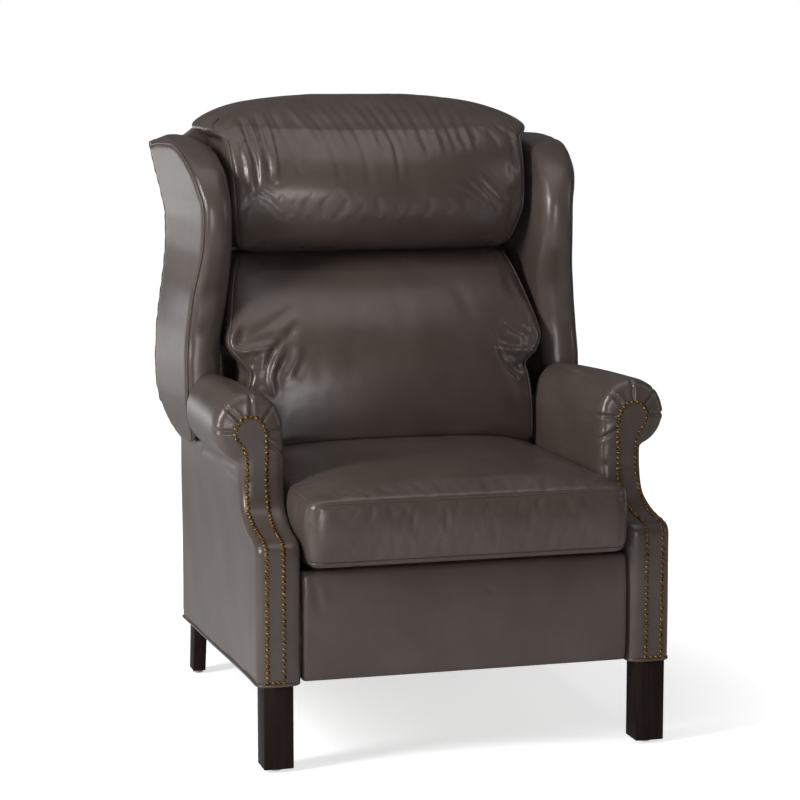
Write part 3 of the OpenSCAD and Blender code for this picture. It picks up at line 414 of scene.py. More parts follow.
def surface_of(obj):
    mesh = obj.data
    return BVHTree.FromPolygons([v.co for v in mesh.vertices], [p.vertices for p in mesh.polygons])


def run_through(path, step=4 * mm, closed=False):
    """Points at even steps along a smooth curve through the given ones."""
    path = np.array(path, float)
    if closed:
        path = np.vstack([path[-2:], path, path[:3]])
    else:
        path = np.vstack([2 * path[0] - path[1], path, 2 * path[-1] - path[-2]])
    dense = []
    for k in range(1, len(path) - 2):
        a, b, c, d = path[k - 1:k + 3]
        for t in np.linspace(0, 1, 24, endpoint=False):
            dense.append(0.5 * (2 * b + (c - a) * t + (2 * a - 5 * b + 4 * c - d) * t * t
                                + (3 * b - a - 3 * c + d) * t ** 3))
    if closed:
        dense = dense[24:-24]
        dense.append(dense[0])
    else:
        dense.append(path[-2])
    dense = np.array(dense)
    length = np.concatenate([[0], np.cumsum(np.linalg.norm(np.diff(dense, axis=0), axis=1))])
    count = max(2, int(round(length[-1] / step)) + 1)
    wanted = np.linspace(0, length[-1], count)
    out = np.column_stack([np.interp(wanted, length, dense[:, k]) for k in range(3)])
    return out[:-1] if closed else out


def laid_on(path, tree, lift):
    """The path moved onto a skin and then out by lift."""
    out = []
    for p in path:
        place, normal, _, _ = tree.find_nearest(Vector(p))
        out.append(place + normal * lift)
    return np.array(out)


def eased(path, rounds, closed=False):
    path = np.array(path, float)
    for _ in range(rounds):
        if closed:
            path = (np.roll(path, 1, 0) + path + np.roll(path, -1, 0)) / 3
        else:
            path[1:-1] = (path[:-2] + path[1:-1] + path[2:]) / 3
    return path


def welt(name, path, radius=None, closed=False):
    """A sewn cord of leather along a path."""
    curve = bpy.data.curves.new(name, "CURVE")
    curve.dimensions = "3D"
    curve.bevel_depth = radius or sizes().welt_radius
    curve.bevel_resolution = 3
    curve.use_fill_caps = True
    spline = curve.splines.new("POLY")
    spline.points.add(len(path) - 1)
    spline.points.foreach_set("co", np.column_stack([path, np.ones(len(path))]).ravel())
    spline.use_cyclic_u = closed
    only(placed(name, curve))
    bpy.ops.object.convert(target="MESH")
    obj = bpy.context.object
    obj.name = name
    clean(obj)
    bpy.ops.object.shade_smooth()
    return obj


def lay_welt(name, path, tree, lift, body, radius=None, closed=False):
    """A welt along a path on a skin, raised by lift."""
    path = eased(laid_on(path, tree, lift), 3, closed=closed)
    dress(welt(name, path, radius, closed), body, "leather")


def dress(obj, body, slot, *nodes, fill=None):
    """Gives a piece the material of its slot and its body, and hides the nodes it stands for."""
    obj.data.materials.clear()
    obj.data.materials.append(finishes[slot]())
    obj.data.polygons.foreach_set("material_index", np.zeros(len(obj.data.polygons), dtype=np.int32))
    obj.data.polygons.foreach_set("use_smooth", np.ones(len(obj.data.polygons), dtype=bool))
    if nodes:
        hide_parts(*nodes)
    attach(obj, body)


# ---- materials


def linear(code):
    """An sRGB hex code as linear colour."""
    parts = [int(code[k:k + 2], 16) / 255 for k in (0, 2, 4)]
    return tuple(p / 12.92 if p <= 0.04045 else ((p + 0.055) / 1.055) ** 2.4 for p in parts) + (1.0,)


def add_node(tree, kind, settings=None, links=None):
    """Adds a node with its attributes or socket values, and its links by socket."""
    node = tree.nodes.new(kind)
    for key, value in (settings or {}).items():
        if isinstance(key, str) and hasattr(node, key):
            setattr(node, key, value)
        else:
            node.inputs[key].default_value = value
    for key, source in (links or {}).items():
        tree.links.new(source, node.inputs[key])
    return node


def built_once(name):
    """Makes a function that draws a shader return the material of this name, drawn on first use."""

    def wrap(draw):
        @functools.wraps(draw)
        def material_of():
            material = bpy.data.materials.get(name)
            if material is None:
                material = bpy.data.materials.new(name)
                material.use_nodes = True
                tree = material.node_tree
                tree.nodes.clear()
                shader = draw(tree, add_node(tree, "ShaderNodeTexCoord").outputs["Object"])
                add_node(tree, "ShaderNodeOutputMaterial", links={"Surface": shader.outputs[0]})
            return material

        return material_of

    return wrap


def mixed_colour(tree, factor, dark, light, low=0.35, high=0.65):
    ramp = add_node(tree, "ShaderNodeValToRGB", links={"Fac": factor})
    ramp.color_ramp.elements[0].position, ramp.color_ramp.elements[0].color = low, linear(dark)
    ramp.color_ramp.elements[1].position, ramp.color_ramp.elements[1].color = high, linear(light)
    return ramp.outputs["Color"]


def noise(tree, place, width, detail, roughness=0.5, distortion=0.0):
    """Noise whose largest cells are about this wide."""
    return add_node(tree, "ShaderNodeTexNoise",
                    {"Scale": 1 / width, "Detail": detail, "Roughness": roughness, "Distortion": distortion},
                    {"Vector": place}).outputs["Fac"]


def stretched(tree, place, scale):
    return add_node(tree, "ShaderNodeMapping", {"Scale": scale}, {"Vector": place}).outputs["Vector"]


def relief(tree, height, strength, distance, normal=None):
    """A normal that follows a height, on top of the relief that normal has already."""
    links = {"Height": height} if normal is None else {"Height": height, "Normal": normal}
    return add_node(tree, "ShaderNodeBump", {"Strength": strength, "Distance": distance}, links).outputs["Normal"]


def ranged(tree, value, low, high, start=0.0, end=1.0, kind="LINEAR"):
    """A value's run from start to end as one from low to high."""
    return add_node(tree, "ShaderNodeMapRange",
                    {"interpolation_type": kind, "From Min": start, "From Max": end, "To Min": low, "To Max": high},
                    {"Value": value}).outputs["Result"]


def combined(tree, kind, a, b):
    return add_node(tree, "ShaderNodeMath", {"operation": kind}, {0: a, 1: b}).outputs[0]


@built_once("aniline_dyed_waxed_hide")
def aniline_leather(tree, place):
    """Aniline-dyed upholstery hide, drum milled and waxed: mottled colour, fine cells, and a soft broad gloss."""
    mottle = noise(tree, place, 0.11, 4.0, roughness=0.55)
    # Cells of the grain, the finer wrinkles that milling leaves between them, and the slack of the whole hide
    cells = add_node(tree, "ShaderNodeTexVoronoi", {"feature": "DISTANCE_TO_EDGE", "Scale": 1 / sizes().grain},
                     {"Vector": place})
    milled = noise(tree, place, 0.012, 5.0, roughness=0.6, distortion=0.4)
    slack = noise(tree, place, 0.055, 2.0, roughness=0.45, distortion=0.6)
    normal = relief(tree, slack, 0.35, 0.9 * mm)
    normal = relief(tree, milled, 0.06, 0.15 * mm, normal)
    normal = relief(tree, cells.outputs["Distance"], 0.06, 0.1 * mm, normal)
    return add_node(tree, "ShaderNodeBsdfPrincipled", {"IOR": 1.5},
                    {"Base Color": mixed_colour(tree, mottle, colours().leather, colours().leather_light),
                     "Roughness": ranged(tree, milled, 0.26, 0.33), "Normal": normal})


def lacquered_wood(tree, place, dark, light):
    """Hardwood stained and sprayed with satin lacquer: long pores run up the leg under a soft shine."""
    pore = 0.9 * mm
    upright = stretched(tree, place, (1.0, 1.0, 0.06))
    pores = noise(tree, upright, 2.2 * pore, 4.0, roughness=0.65)
    figure = noise(tree, upright, 14 * pore, 3.0, distortion=0.8)
    tone = combined(tree, "MULTIPLY", pores, figure)
    return add_node(tree, "ShaderNodeBsdfPrincipled", {"Roughness": 0.5, "Specular IOR Level": 0.12},
                    {"Base Color": mixed_colour(tree, tone, dark, light, 0.12, 0.42),
                     "Normal": relief(tree, pores, 0.3, 0.2 * mm)})


@built_once("lacquered_espresso_hardwood")
def espresso_lacquer(tree, place):
    return lacquered_wood(tree, place, colours().espresso, colours().espresso_light)


# Edge colour of the legs: real wear, and a painted highlight where the bevels catch the light
@built_once("worn_through_hardwood_with_painted_highlight")
def worn_and_highlit_edge_lacquer(tree, place):
    """The legs' edges, where handling has worn the dark lacquer through to the stain. Their paler, redder colour is
    also a painted highlight along the bevels.
    """
    return lacquered_wood(tree, place, colours().edge_wear_and_highlight, colours().edge_wear_and_highlight_figure)


@built_once("sawn_dip_stained_hardwood")
def bare_wood(tree, place):
    """Sawn hardwood of the frame, dip-stained dark: dry, matt, with saw marks across the grain."""
    grain = noise(tree, stretched(tree, place, (1.0, 0.12, 0.4)), 0.006, 5.0, distortion=0.6)
    return add_node(tree, "ShaderNodeBsdfPrincipled", {"Roughness": 0.75},
                    {"Base Color": mixed_colour(tree, grain, colours().frame_wood_dark, colours().frame_wood),
                     "Normal": relief(tree, grain, 0.4, 0.3 * mm)})


@built_once("antiqued_stamped_brass")
def antique_brass(tree, place):
    """Stamped brass, chemically aged and rubbed back: bright crowns over brown hollows."""
    patina = noise(tree, place, 0.005, 2.0)
    return add_node(tree, "ShaderNodeBsdfPrincipled", {"Metallic": 1.0},
                    {"Base Color": mixed_colour(tree, patina, colours().brass_dark, colours().brass),
                     "Roughness": ranged(tree, patina, 0.24, 0.42)})


@built_once("blackened_pressed_steel")
def oiled_steel(tree, place):
    """Pressed steel strip, blackened and oiled: dark, with faint rolling marks."""
    marks = noise(tree, place, 0.004, 4.0)
    return add_node(tree, "ShaderNodeBsdfPrincipled", {"Metallic": 1.0},
                    {"Base Color": mixed_colour(tree, marks, colours().steel_dark, colours().steel),
                     "Roughness": ranged(tree, marks, 0.35, 0.55)})


@built_once("moulded_nylon")
def moulded_nylon(tree, place):
    """Injection-moulded nylon: waxy, faintly cloudy."""
    cloud = noise(tree, place, 0.01, 2.0)
    return add_node(tree, "ShaderNodeBsdfPrincipled", {"Roughness": 0.45},
                    {"Base Color": mixed_colour(tree, cloud, colours().nylon_dark, colours().nylon)})


@built_once("plain_woven_deck_cloth")
def deck_cloth(tree, place):
    """Plain-woven deck cloth: threads about 1 mm apart, matt and a little hairy."""
    warp, weft = [add_node(tree, "ShaderNodeTexWave", {"bands_direction": way, "Scale": 1 / 0.0063},
                           {"Vector": place}).outputs["Fac"] for way in "XY"]
    weave = combined(tree, "MAXIMUM", warp, weft)
    return add_node(tree, "ShaderNodeBsdfPrincipled", {"Roughness": 0.9, "Sheen Weight": 0.2},
                    {"Base Color": mixed_colour(tree, weave, colours().cloth_dark, colours().cloth, 0.1, 0.9),
                     "Normal": relief(tree, weave, 0.5, 0.3 * mm)})


@built_once("matt_studio_sweep")
def studio_floor(tree, place):
    """Matt white sweep: the camera sees it lit from within, and it keeps the chair's shadow."""
    rays = add_node(tree, "ShaderNodeLightPath").outputs
    seen = combined(tree, "MAXIMUM", rays["Is Camera Ray"], rays["Is Glossy Ray"])
    seen = combined(tree, "MAXIMUM", seen, rays["Is Transmission Ray"])
    paint = add_node(tree, "ShaderNodeBsdfDiffuse", {"Color": linear(colours().floor)})
    # The hide's gloss meets light only from the floor well behind the chair; the camera sees it dim under the chair
    behind = add_node(tree, "ShaderNodeSeparateXYZ", links={0: place}).outputs["Y"]
    pool = ranged(tree, behind, 0.0, 1.2, 1.5, 7.5, "SMOOTHSTEP")
    away = add_node(tree, "ShaderNodeVectorMath", {"operation": "LENGTH"}, {0: place}).outputs["Value"]
    white = ranged(tree, away, 0.66, 1.0, 0.45, 1.15, "SMOOTHSTEP")
    strength = add_node(tree, "ShaderNodeMapRange",
                        links={"Value": rays["Is Camera Ray"], "To Min": pool, "To Max": white})
    glow = add_node(tree, "ShaderNodeEmission", {"Color": (1, 1, 1, 1)}, {"Strength": strength.outputs["Result"]})
    lit = add_node(tree, "ShaderNodeAddShader", links={0: paint.outputs[0], 1: glow.outputs[0]})
    return add_node(tree, "ShaderNodeMixShader", links={"Fac": seen, 1: paint.outputs[0], 2: lit.outputs[0]})


finishes = {"frame_wood": bare_wood, "mechanism_steel": oiled_steel, "deck_cloth": deck_cloth,
            "nylon": moulded_nylon, "nail_brass": antique_brass, "leather": aniline_leather,
            "padded_leather": aniline_leather}


# ---- forms of this chair, as tables. A row of a cushion or wing begins with its share of the piece's height

seat_box = {"half": 289 * mm, "front": -441 * mm, "rear": 200 * mm, "low": 354 * mm, "seam": 467 * mm,
            "crown": 30 * mm}
# Width, depth and swell of a cushion's section; last in the pillow's, how far its rear lies ahead of the back
lumbar_rows = [[0, 0.905, 0.915, 0.35], [0.02, 0.915, 0.945, 0.55], [0.06, 0.919, 0.958, 0.68],
               [0.107, 0.919, 0.968, 0.75], [0.241, 0.913, 0.988, 0.85], [0.337, 0.897, 0.993, 0.93],
               [0.390, 0.878, 0.994, 0.95], [0.433, 0.915, 0.989, 0.97], [0.477, 0.965, 0.979, 1],
               [0.549, 1, 0.960, 1], [0.625, 0.987, 0.927, 0.97], [0.755, 0.955, 0.833, 0.88],
               [0.875, 0.920, 0.730, 0.70], [0.957, 0.885, 0.663, 0.48], [0.989, 0.859, 0.622, 0.28],
               [1, 0.821, 0.573, 0.10]]
pillow_rows = [[0, 0.811, 0.664, 0.2, 0.25], [0.02, 0.843, 0.742, 0.5, 0.25], [0.09, 0.877, 0.817, 0.83, 0.25],
               [0.20, 0.899, 0.922, 0.98, 0.25], [0.306, 0.912, 0.990, 1, 0.25], [0.488, 0.918, 1, 0.96, 0.25],
               [0.616, 0.925, 0.965, 0.91, 0.25], [0.70, 0.931, 0.915, 0.85, 0.25], [0.735, 0.935, 0.885, 0.82, 0],
               [0.765, 0.995, 0.825, 0.77, 0], [0.80, 1, 0.760, 0.70, 0], [0.848, 0.950, 0.695, 0.60, 0],
               [0.905, 0.843, 0.610, 0.43, 0.01], [0.95, 0.698, 0.542, 0.26, 0.04], [0.98, 0.503, 0.49, 0.13, 0.10],
               [1, 0.283, 0.447, 0.05, 0.19]]
# Depth of a wing's section, how far its rear is cut away, and its outer, rear outer and inner x
wing_rows = [
    [0, 0.361, 0.267, 0.921, 0.924, 0.904], [0.010, 0.476, 0.201, 0.929, 0.934, 0.902],
    [0.031, 0.582, 0.127, 0.936, 0.948, 0.899], [0.065, 0.646, 0.063, 0.948, 0.968, 0.885],
    [0.108, 0.669, 0.018, 0.958, 0.985, 0.845], [0.168, 0.686, 0, 0.966, 0.998, 0.812],
    [0.250, 0.704, 0, 0.966, 1, 0.793], [0.357, 0.717, 0, 0.958, 0.988, 0.783],
    [0.420, 0.741, 0, 0.948, 0.975, 0.769], [0.496, 0.777, 0, 0.936, 0.956, 0.755],
    [0.563, 0.830, 0, 0.919, 0.939, 0.749], [0.652, 0.907, 0, 0.902, 0.924, 0.747],
    [0.739, 0.946, 0, 0.897, 0.921, 0.747], [0.787, 0.954, 0, 0.899, 0.934, 0.749],
    [0.823, 0.942, 0, 0.912, 0.943, 0.752], [0.878, 0.903, 0, 0.929, 0.961, 0.757],
    [0.919, 0.821, 0, 0.941, 0.973, 0.764], [0.955, 0.708, 0, 0.953, 0.983, 0.776],
    [0.978, 0.566, 0, 0.963, 0.983, 0.796], [0.991, 0.412, 0.01, 0.958, 0.973, 0.821],
    [1, 0.258, 0.03, 0.943, 0.958, 0.845]]
# The front of an arm in side view: height, and distance ahead of the chair's middle
arm_front_rows = [[0.152, 0.422], [0.370, 0.422], [0.384, 0.4215], [0.3955, 0.412], [0.401, 0.392], [0.406, 0.361],
                  [0.418, 0.325], [0.433, 0.300], [0.455, 0.287], [0.487, 0.281], [0.520, 0.280], [0.560, 0.283],
                  [0.640, 0.283]]
# Height, inner and outer x of the nail lines on the right arm
nail_rows = [[0.158, 0.329, 0.358], [0.385, 0.329, 0.3585], [0.395, 0.329, 0.3585], [0.406, 0.328, 0.359],
             [0.418, 0.327, 0.361], [0.433, 0.326, 0.363], [0.487, 0.326, 0.3605], [0.518, 0.3255, 0.361],
             [0.533, 0.325, 0.363], [0.543, 0.325, 0.367], [0.553, 0.325, 0.375], [0.561, 0.325, 0.380],
             [0.567, 0.3255, 0.3815], [0.574, 0.327, 0.381], [0.582, 0.331, 0.378], [0.589, 0.336, 0.373],
             [0.595, 0.343, 0.366], [0.598, 0.3495, 0.3585]]
# Gathers of the hide: a line of (x, z) in metres, then its width and its height in mm, below 0 for a crease
lumbar_gathers = [
    [[(-0.292, 0.716), (-0.303, 0.690), (-0.303, 0.676), (-0.286, 0.668), (-0.262, 0.671), (-0.228, 0.680)], 7, 4.5],
    [[(-0.186, 0.712), (-0.206, 0.688), (-0.226, 0.664), (-0.246, 0.640)], 7, -3.5],
    [[(-0.203, 0.690), (-0.224, 0.655), (-0.236, 0.622), (-0.234, 0.592)], 6, 4.0],
    [[(-0.182, 0.680), (-0.190, 0.650), (-0.206, 0.620)], 8, 2.5],
    [[(-0.288, 0.690), (-0.252, 0.706), (-0.205, 0.732), (-0.172, 0.752)], 8, -1.6],
    [[(-0.265, 0.640), (-0.282, 0.646), (-0.298, 0.652)], 8, -3.0],
    [[(0.300, 0.650), (0.272, 0.653), (0.240, 0.654), (0.214, 0.662)], 6, 2.8],
    [[(0.210, 0.662), (0.222, 0.640), (0.236, 0.618), (0.250, 0.604)], 4, -4.5],
    [[(0.296, 0.628), (0.272, 0.628), (0.248, 0.624)], 8, -3.0],
    [[(0.286, 0.676), (0.258, 0.690), (0.230, 0.708)], 7, -1.6],
    [[(0.268, 0.790), (0.276, 0.760), (0.290, 0.722)], 7, 1.6],
    [[(0.262, 0.560), (0.252, 0.585), (0.238, 0.606)], 9, 1.5],
]
lumbar_folds = [((-0.150, 0.770), (-0.146, 0.600), 13 * mm, 0.8 * mm), ((0.02, 0.80), (0.03, 0.68), 16 * mm, 0.6 * mm),
                ((-0.06, 0.76), (-0.09, 0.64), 14 * mm, 0.6 * mm), ((0.14, 0.79), (0.17, 0.70), 14 * mm, 0.6 * mm)]
pillow_gathers = [
    [[(-0.272, 1.092), (-0.270, 1.060), (-0.262, 1.020), (-0.257, 0.975)], 6, 2.2],
    [[(-0.257, 1.095), (-0.254, 1.060), (-0.247, 1.015), (-0.245, 0.970)], 4, -2.6],
    [[(-0.243, 1.098), (-0.240, 1.060), (-0.236, 1.010)], 4, 2.2],
    [[(-0.228, 1.104), (-0.226, 1.070), (-0.224, 1.030), (-0.224, 0.985)], 4, -2.4],
    [[(-0.213, 1.106), (-0.210, 1.070), (-0.209, 1.030), (-0.210, 0.985)], 4, 2.0],
    [[(-0.193, 1.110), (-0.188, 1.075), (-0.176, 1.040), (-0.166, 1.000)], 6, -1.7],
    [[(-0.158, 1.118), (-0.140, 1.085), (-0.124, 1.045)], 6, 1.3],
    [[(-0.132, 1.122), (-0.112, 1.085), (-0.098, 1.030), (-0.092, 0.985)], 6, -1.3],
    [[(-0.103, 1.124), (-0.086, 1.090), (-0.074, 1.040)], 6, 1.1],
    [[(-0.072, 1.126), (-0.052, 1.090), (-0.040, 1.040), (-0.036, 0.985)], 7, -1.2],
    [[(-0.036, 1.126), (-0.018, 1.090), (-0.012, 1.040)], 6, 1.1],
    [[(0.000, 1.128), (0.012, 1.090), (0.022, 1.050), (0.024, 0.985)], 5, -1.4],
    [[(0.036, 1.127), (0.046, 1.095), (0.047, 1.060)], 6, 1.2],
    [[(0.072, 1.126), (0.080, 1.090), (0.086, 1.035)], 6, -1.1],
    [[(0.105, 1.122), (0.112, 1.080), (0.114, 1.035)], 7, 1.0],
    [[(0.140, 1.118), (0.142, 1.085), (0.146, 1.040)], 6, -1.0],
    [[(0.178, 1.108), (0.178, 1.075), (0.182, 1.040)], 6, 0.8],
    [[(0.100, 0.985), (0.135, 0.972), (0.172, 0.948)], 4, -0.9],
    [[(0.165, 0.985), (0.200, 0.955), (0.228, 0.925)], 4, -1.0],
    [[(0.195, 0.985), (0.222, 0.960), (0.248, 0.938)], 4, -0.8],
    [[(-0.248, 0.968), (-0.226, 0.952), (-0.205, 0.930)], 4, -1.2],
    [[(-0.240, 0.950), (-0.222, 0.934), (-0.206, 0.916)], 4, -1.0],
]
# The roll of an arm: at its front end, at its rear end, and the lines that its underside and inner wall keep
scroll = {"x": 355 * mm, "z": 575 * mm, "radius": 63 * mm, "front": -283 * mm, "nose": 32 * mm,
          "rear_x": 344 * mm, "rear_z": 560 * mm, "rear_half_w": 50 * mm, "rear_half_h": 66 * mm, "rear": 98 * mm,
          "wall": 291.5 * mm, "foot": 350 * mm, "neck": 490 * mm, "under": 358 * mm, "crown": 3 * mm}
nose_rows = [[0, 0.46], [0.03, 0.62], [0.10, 0.78], [0.22, 0.885], [0.40, 0.95], [0.65, 0.985], [1, 1]]
pleat_angles = (2, 45, 90, 133, 178, 214)
# Middle of the scroll's face, where the pleats meet
pleat_centre = (353 * mm, 571 * mm)
# The post of an arm: its faces, its front at the foot, how far the neck stands back from that, and its rear, which
# steps forward towards the neck over a run of heights
post_box = {"inner": 297 * mm, "outer": 375 * mm, "front": 422 * mm, "set_back": 139 * mm, "rear": -322 * mm,
            "rear_step": 118 * mm, "step_from": 0.34, "step_run": 0.04, "corner": 17 * mm}
# How far outside a skin the rays start that find it
probe = 15 * mm
# Lights: place and aim in metres, width, height, and power in watts
lamps = {"key_softbox": ((-3.2, -1.2, 1.9), (0, 0, 0.7), 0.7, 1.5, 84),
         "high_softbox": ((-2.2, -0.5, 2.3), (-0.3, 0, 0.9), 0.8, 1.3, 12),
         "front_softbox": ((-0.9, -4.0, 0.9), (0, 0, 0.6), 1.1, 1.1, 30),
         "right_strip": ((2.6, -1.2, 1.6), (0, 0, 0.7), 0.35, 1.8, 8),
         "top_softbox": ((0, -0.3, 3.4), (0, 0, 0.5), 2.6, 2.6, 22)}
# The photo's camera: its place, and how many degrees it looks down and to the right
camera_place = (-1.2532, -4.3970, 1.2057)
camera_down, camera_right = 7.84, 15.85


class RECLINER_OT_seat_cushion(bpy.types.Operator):
    """Boxed seat cushion, stuffed, with a self welt round its top and bottom"""

    bl_idname = "recliner.seat_cushion"
    bl_label = "Seat Cushion"

    def execute(self, context):
        box, corner = seat_box, 24 * mm
        inset_rows = [[0, 9], [0.04, 4], [0.12, 0.6], [0.25, -1.3], [0.5, -2.2], [0.75, -0.9], [0.9, 0.9], [1, 2.5]]
        shares = np.linspace(0, 1, 14)
        rings = []
        for share, inset in zip(shares, smooth_table(inset_rows, shares)[:, 0] * mm):
            z = box["low"] + (box["seam"] - box["low"]) * share
            rings.append([(x, y, z) for x, y in self.ring(inset, corner - inset)])
        for share in np.linspace(0.06, 0.97, 16):
            inset = share * box["half"]
            ring = self.ring(inset, max(corner - inset, 6 * mm) * (1 - share) + 2 * mm)
            rings.append([(x, y, self.top(x, y)) for x, y in ring])
        cushion = skin_over(loft("seat_cushion_leather", rings), 4)
        heights = points_of(cushion)[:, 2]
        seam = bump_of(heights - box["seam"], 6 * mm)
        swell(cushion, np.clip(np.maximum(seam, (box["low"] + 12 * mm - heights) / (6 * mm)), 0, 1))
        fine(cushion)
        edges = [run_through([(x, y, z) for x, y in self.ring(1.5 * mm, corner)], closed=True)
                 for z in (box["seam"], box["low"] + 7 * mm)]
        for path in edges:
            press_seam(cushion, path, 2.2 * mm)
        folds = [((-0.235 + 0.052 * k, 0.468), (-0.225 + 0.054 * k, 0.484 + 0.002 * (k % 3)), (6 + k % 3) * mm,
                  (0.5 + 0.25 * (k % 2)) * mm) for k in range(9)]
        press_folds(cushion, folds, facing=0.4)
        dress(cushion, "seat", "padded_leather", "seat_cushion", fill=0.85)
        tree = surface_of(cushion)
        lay_welt("seat_top_welt", edges[0], tree, 0.2 * mm, "seat", 1.3 * mm, closed=True)
        lay_welt("seat_bottom_welt", edges[1], tree, 0.8 * mm, "seat", 2 * mm, closed=True)
        return {"FINISHED"}

    def ring(self, inset, radius):
        """A level section, inset from the cushion's box."""
        box = seat_box
        return rounded_box_ring(-box["half"] + inset, box["half"] - inset, box["front"] + inset,
                                box["rear"] - inset, radius)

    def top(self, x, y):
        """Height of the crowned top."""
        box = seat_box
        middle, half_d = (box["front"] + box["rear"]) / 2, (box["rear"] - box["front"]) / 2
        across = (1 - min(abs(x) / box["half"], 1) ** 2.6) ** 0.62
        along = (1 - min(abs(y - middle) / half_d, 1) ** 3.4) ** 0.62
        return box["seam"] + 2 * mm + (box["crown"] - 2 * mm) * across * along


class RECLINER_OT_lumbar_cushion(bpy.types.Operator):
    """Lumbar cushion, notched for the arms, with welts down its sides and gathers at the notches"""

    bl_idname = "recliner.lumbar_cushion"
    bl_label = "Lumbar Cushion"

    def execute(self, context):
        low, height, half, depth, crown = 486 * mm, 355 * mm, 312 * mm, 270 * mm, 40 * mm
        shares = np.concatenate([[0, 0.008, 0.02], np.linspace(0.04, 0.96, 40), [0.98, 0.992, 1]])
        rings, edges = [], {-1: [], 1: []}
        for share, (wide, deep, bulge) in zip(shares, smooth_table(lumbar_rows, shares)):
            # The underside reaches down behind the seat cushion
            z = low + height * share - 14 * mm * max(0, 1 - share / 0.08)
            edge, front, rear = half * wide, back_face(z) - depth * deep, back_face(z) - 64 * mm
            rings.append(crowned_ring(edge, front, rear, crown * bulge, z, self.banded))
            if 0.015 < share < 0.992:
                for side in edges:
                    edges[side].append((side * (edge - seam_inset), front + seam_inset, z))
        cushion = skin_over(loft("lumbar_cushion_leather", rings), 4)
        x, y, z = points_of(cushion).T
        wide, deep = smooth_table(lumbar_rows, (z - low) / height)[:, :2].T
        front = back_face(z) - depth * deep
        corner = np.hypot(np.abs(x) - half * wide + seam_inset, y - front - seam_inset)
        held = np.clip(np.maximum(bump_of(corner, 9 * mm), (y - front - 60 * mm) / (30 * mm)), 0, 1)
        stuff_and_sew(cushion, held, lumbar_gathers, edges, lumbar_folds)
        self.rest_on(cushion, surface_of(bpy.data.objects["seat_cushion_leather"]))
        dress(cushion, "back", "padded_leather", "lumbar_cushion", fill=0.75)
        tree = surface_of(cushion)
        for name, side in sides.items():
            lay_welt(f"lumbar_welt_{name}", run_through(edges[side]), tree, 0.9 * mm, "back")
        return {"FINISHED"}

    def rest_on(self, piece, seat):
        """The underside lies on the seat cushion's crown."""
        underside, above_seat, gap = 512 * mm, 560 * mm, 0.6 * mm
        places = points_of(piece)
        for k in np.flatnonzero(places[:, 2] < underside):
            hit, _, _, _ = seat.ray_cast(Vector((places[k, 0], places[k, 1], above_seat)), Vector((0, 0, -1)))
            if hit is not None:
                places[k, 2] = max(places[k, 2], hit.z + gap)
        move_points(piece, places)

    def banded(self, x, y, z, edge, front):
        """Sides: from the front's edge the boxing widens back to the wings, and to the arms below them."""
        band, run, arm_top, arm_wall = 18 * mm, 70 * mm, 640 * mm, 288.5 * mm
        reach = min(max((y - front - band) / run, 0), 1)
        reach *= reach * (3 - 2 * reach)
        above = min(max((z - arm_top) / (25 * mm), 0), 1)
        wall = arm_wall + 9 * mm * above
        wider = edge + max(0, wall - edge) * reach
        return x * wider / edge


class RECLINER_OT_head_pillow(bpy.types.Operator):
    """Head pillow that rolls over the top of the frame, with boxed ends and puckers along its top"""

    bl_idname = "recliner.head_pillow"
    bl_label = "Head Pillow"

    def execute(self, context):
        low, height, half, depth, crown = 846 * mm, 297 * mm, 318 * mm, 260 * mm, 46 * mm
        shares = np.concatenate([[0, 0.008, 0.02], np.linspace(0.045, 0.93, 36), [0.95, 0.97, 0.985, 0.994, 1]])
        rings, edges = [], {-1: [], 1: []}
        for share, (wide, deep, bulge, back) in zip(shares, smooth_table(pillow_rows, shares)):
            z = low + height * share
            edge, front = half * wide, back_face(z) - depth * deep
            rear = back_face(z) - 1 * mm - min(depth * back, 63 * mm)
            rings.append(crowned_ring(edge, front, rear, crown * bulge, z))
            if 0.02 < share < 0.86:
                for side in edges:
                    edges[side].append((side * (edge - seam_inset), front + seam_inset, z))
        pillow = skin_over(loft("head_pillow_leather", rings), 5)
        x, y, z = points_of(pillow).T
        wide, deep = smooth_table(pillow_rows, np.clip((z - low) / height, 0, 1))[:, :2].T
        corner = np.hypot(np.abs(x) - half * wide + seam_inset, y - back_face(z) + depth * deep - seam_inset)
        held = np.clip(np.maximum(bump_of(corner, 9 * mm), (y - back_face(z) + 90 * mm) / (20 * mm)), 0, 1)
        stuff_and_sew(pillow, held, pillow_gathers, edges)
        dress(pillow, "back", "padded_leather", "head_pillow", fill=0.8)
        tree = surface_of(pillow)
        for name, side in sides.items():
            lay_welt(f"pillow_welt_{name}", run_through(edges[side]), tree, 0.9 * mm, "back")
        return {"FINISHED"}


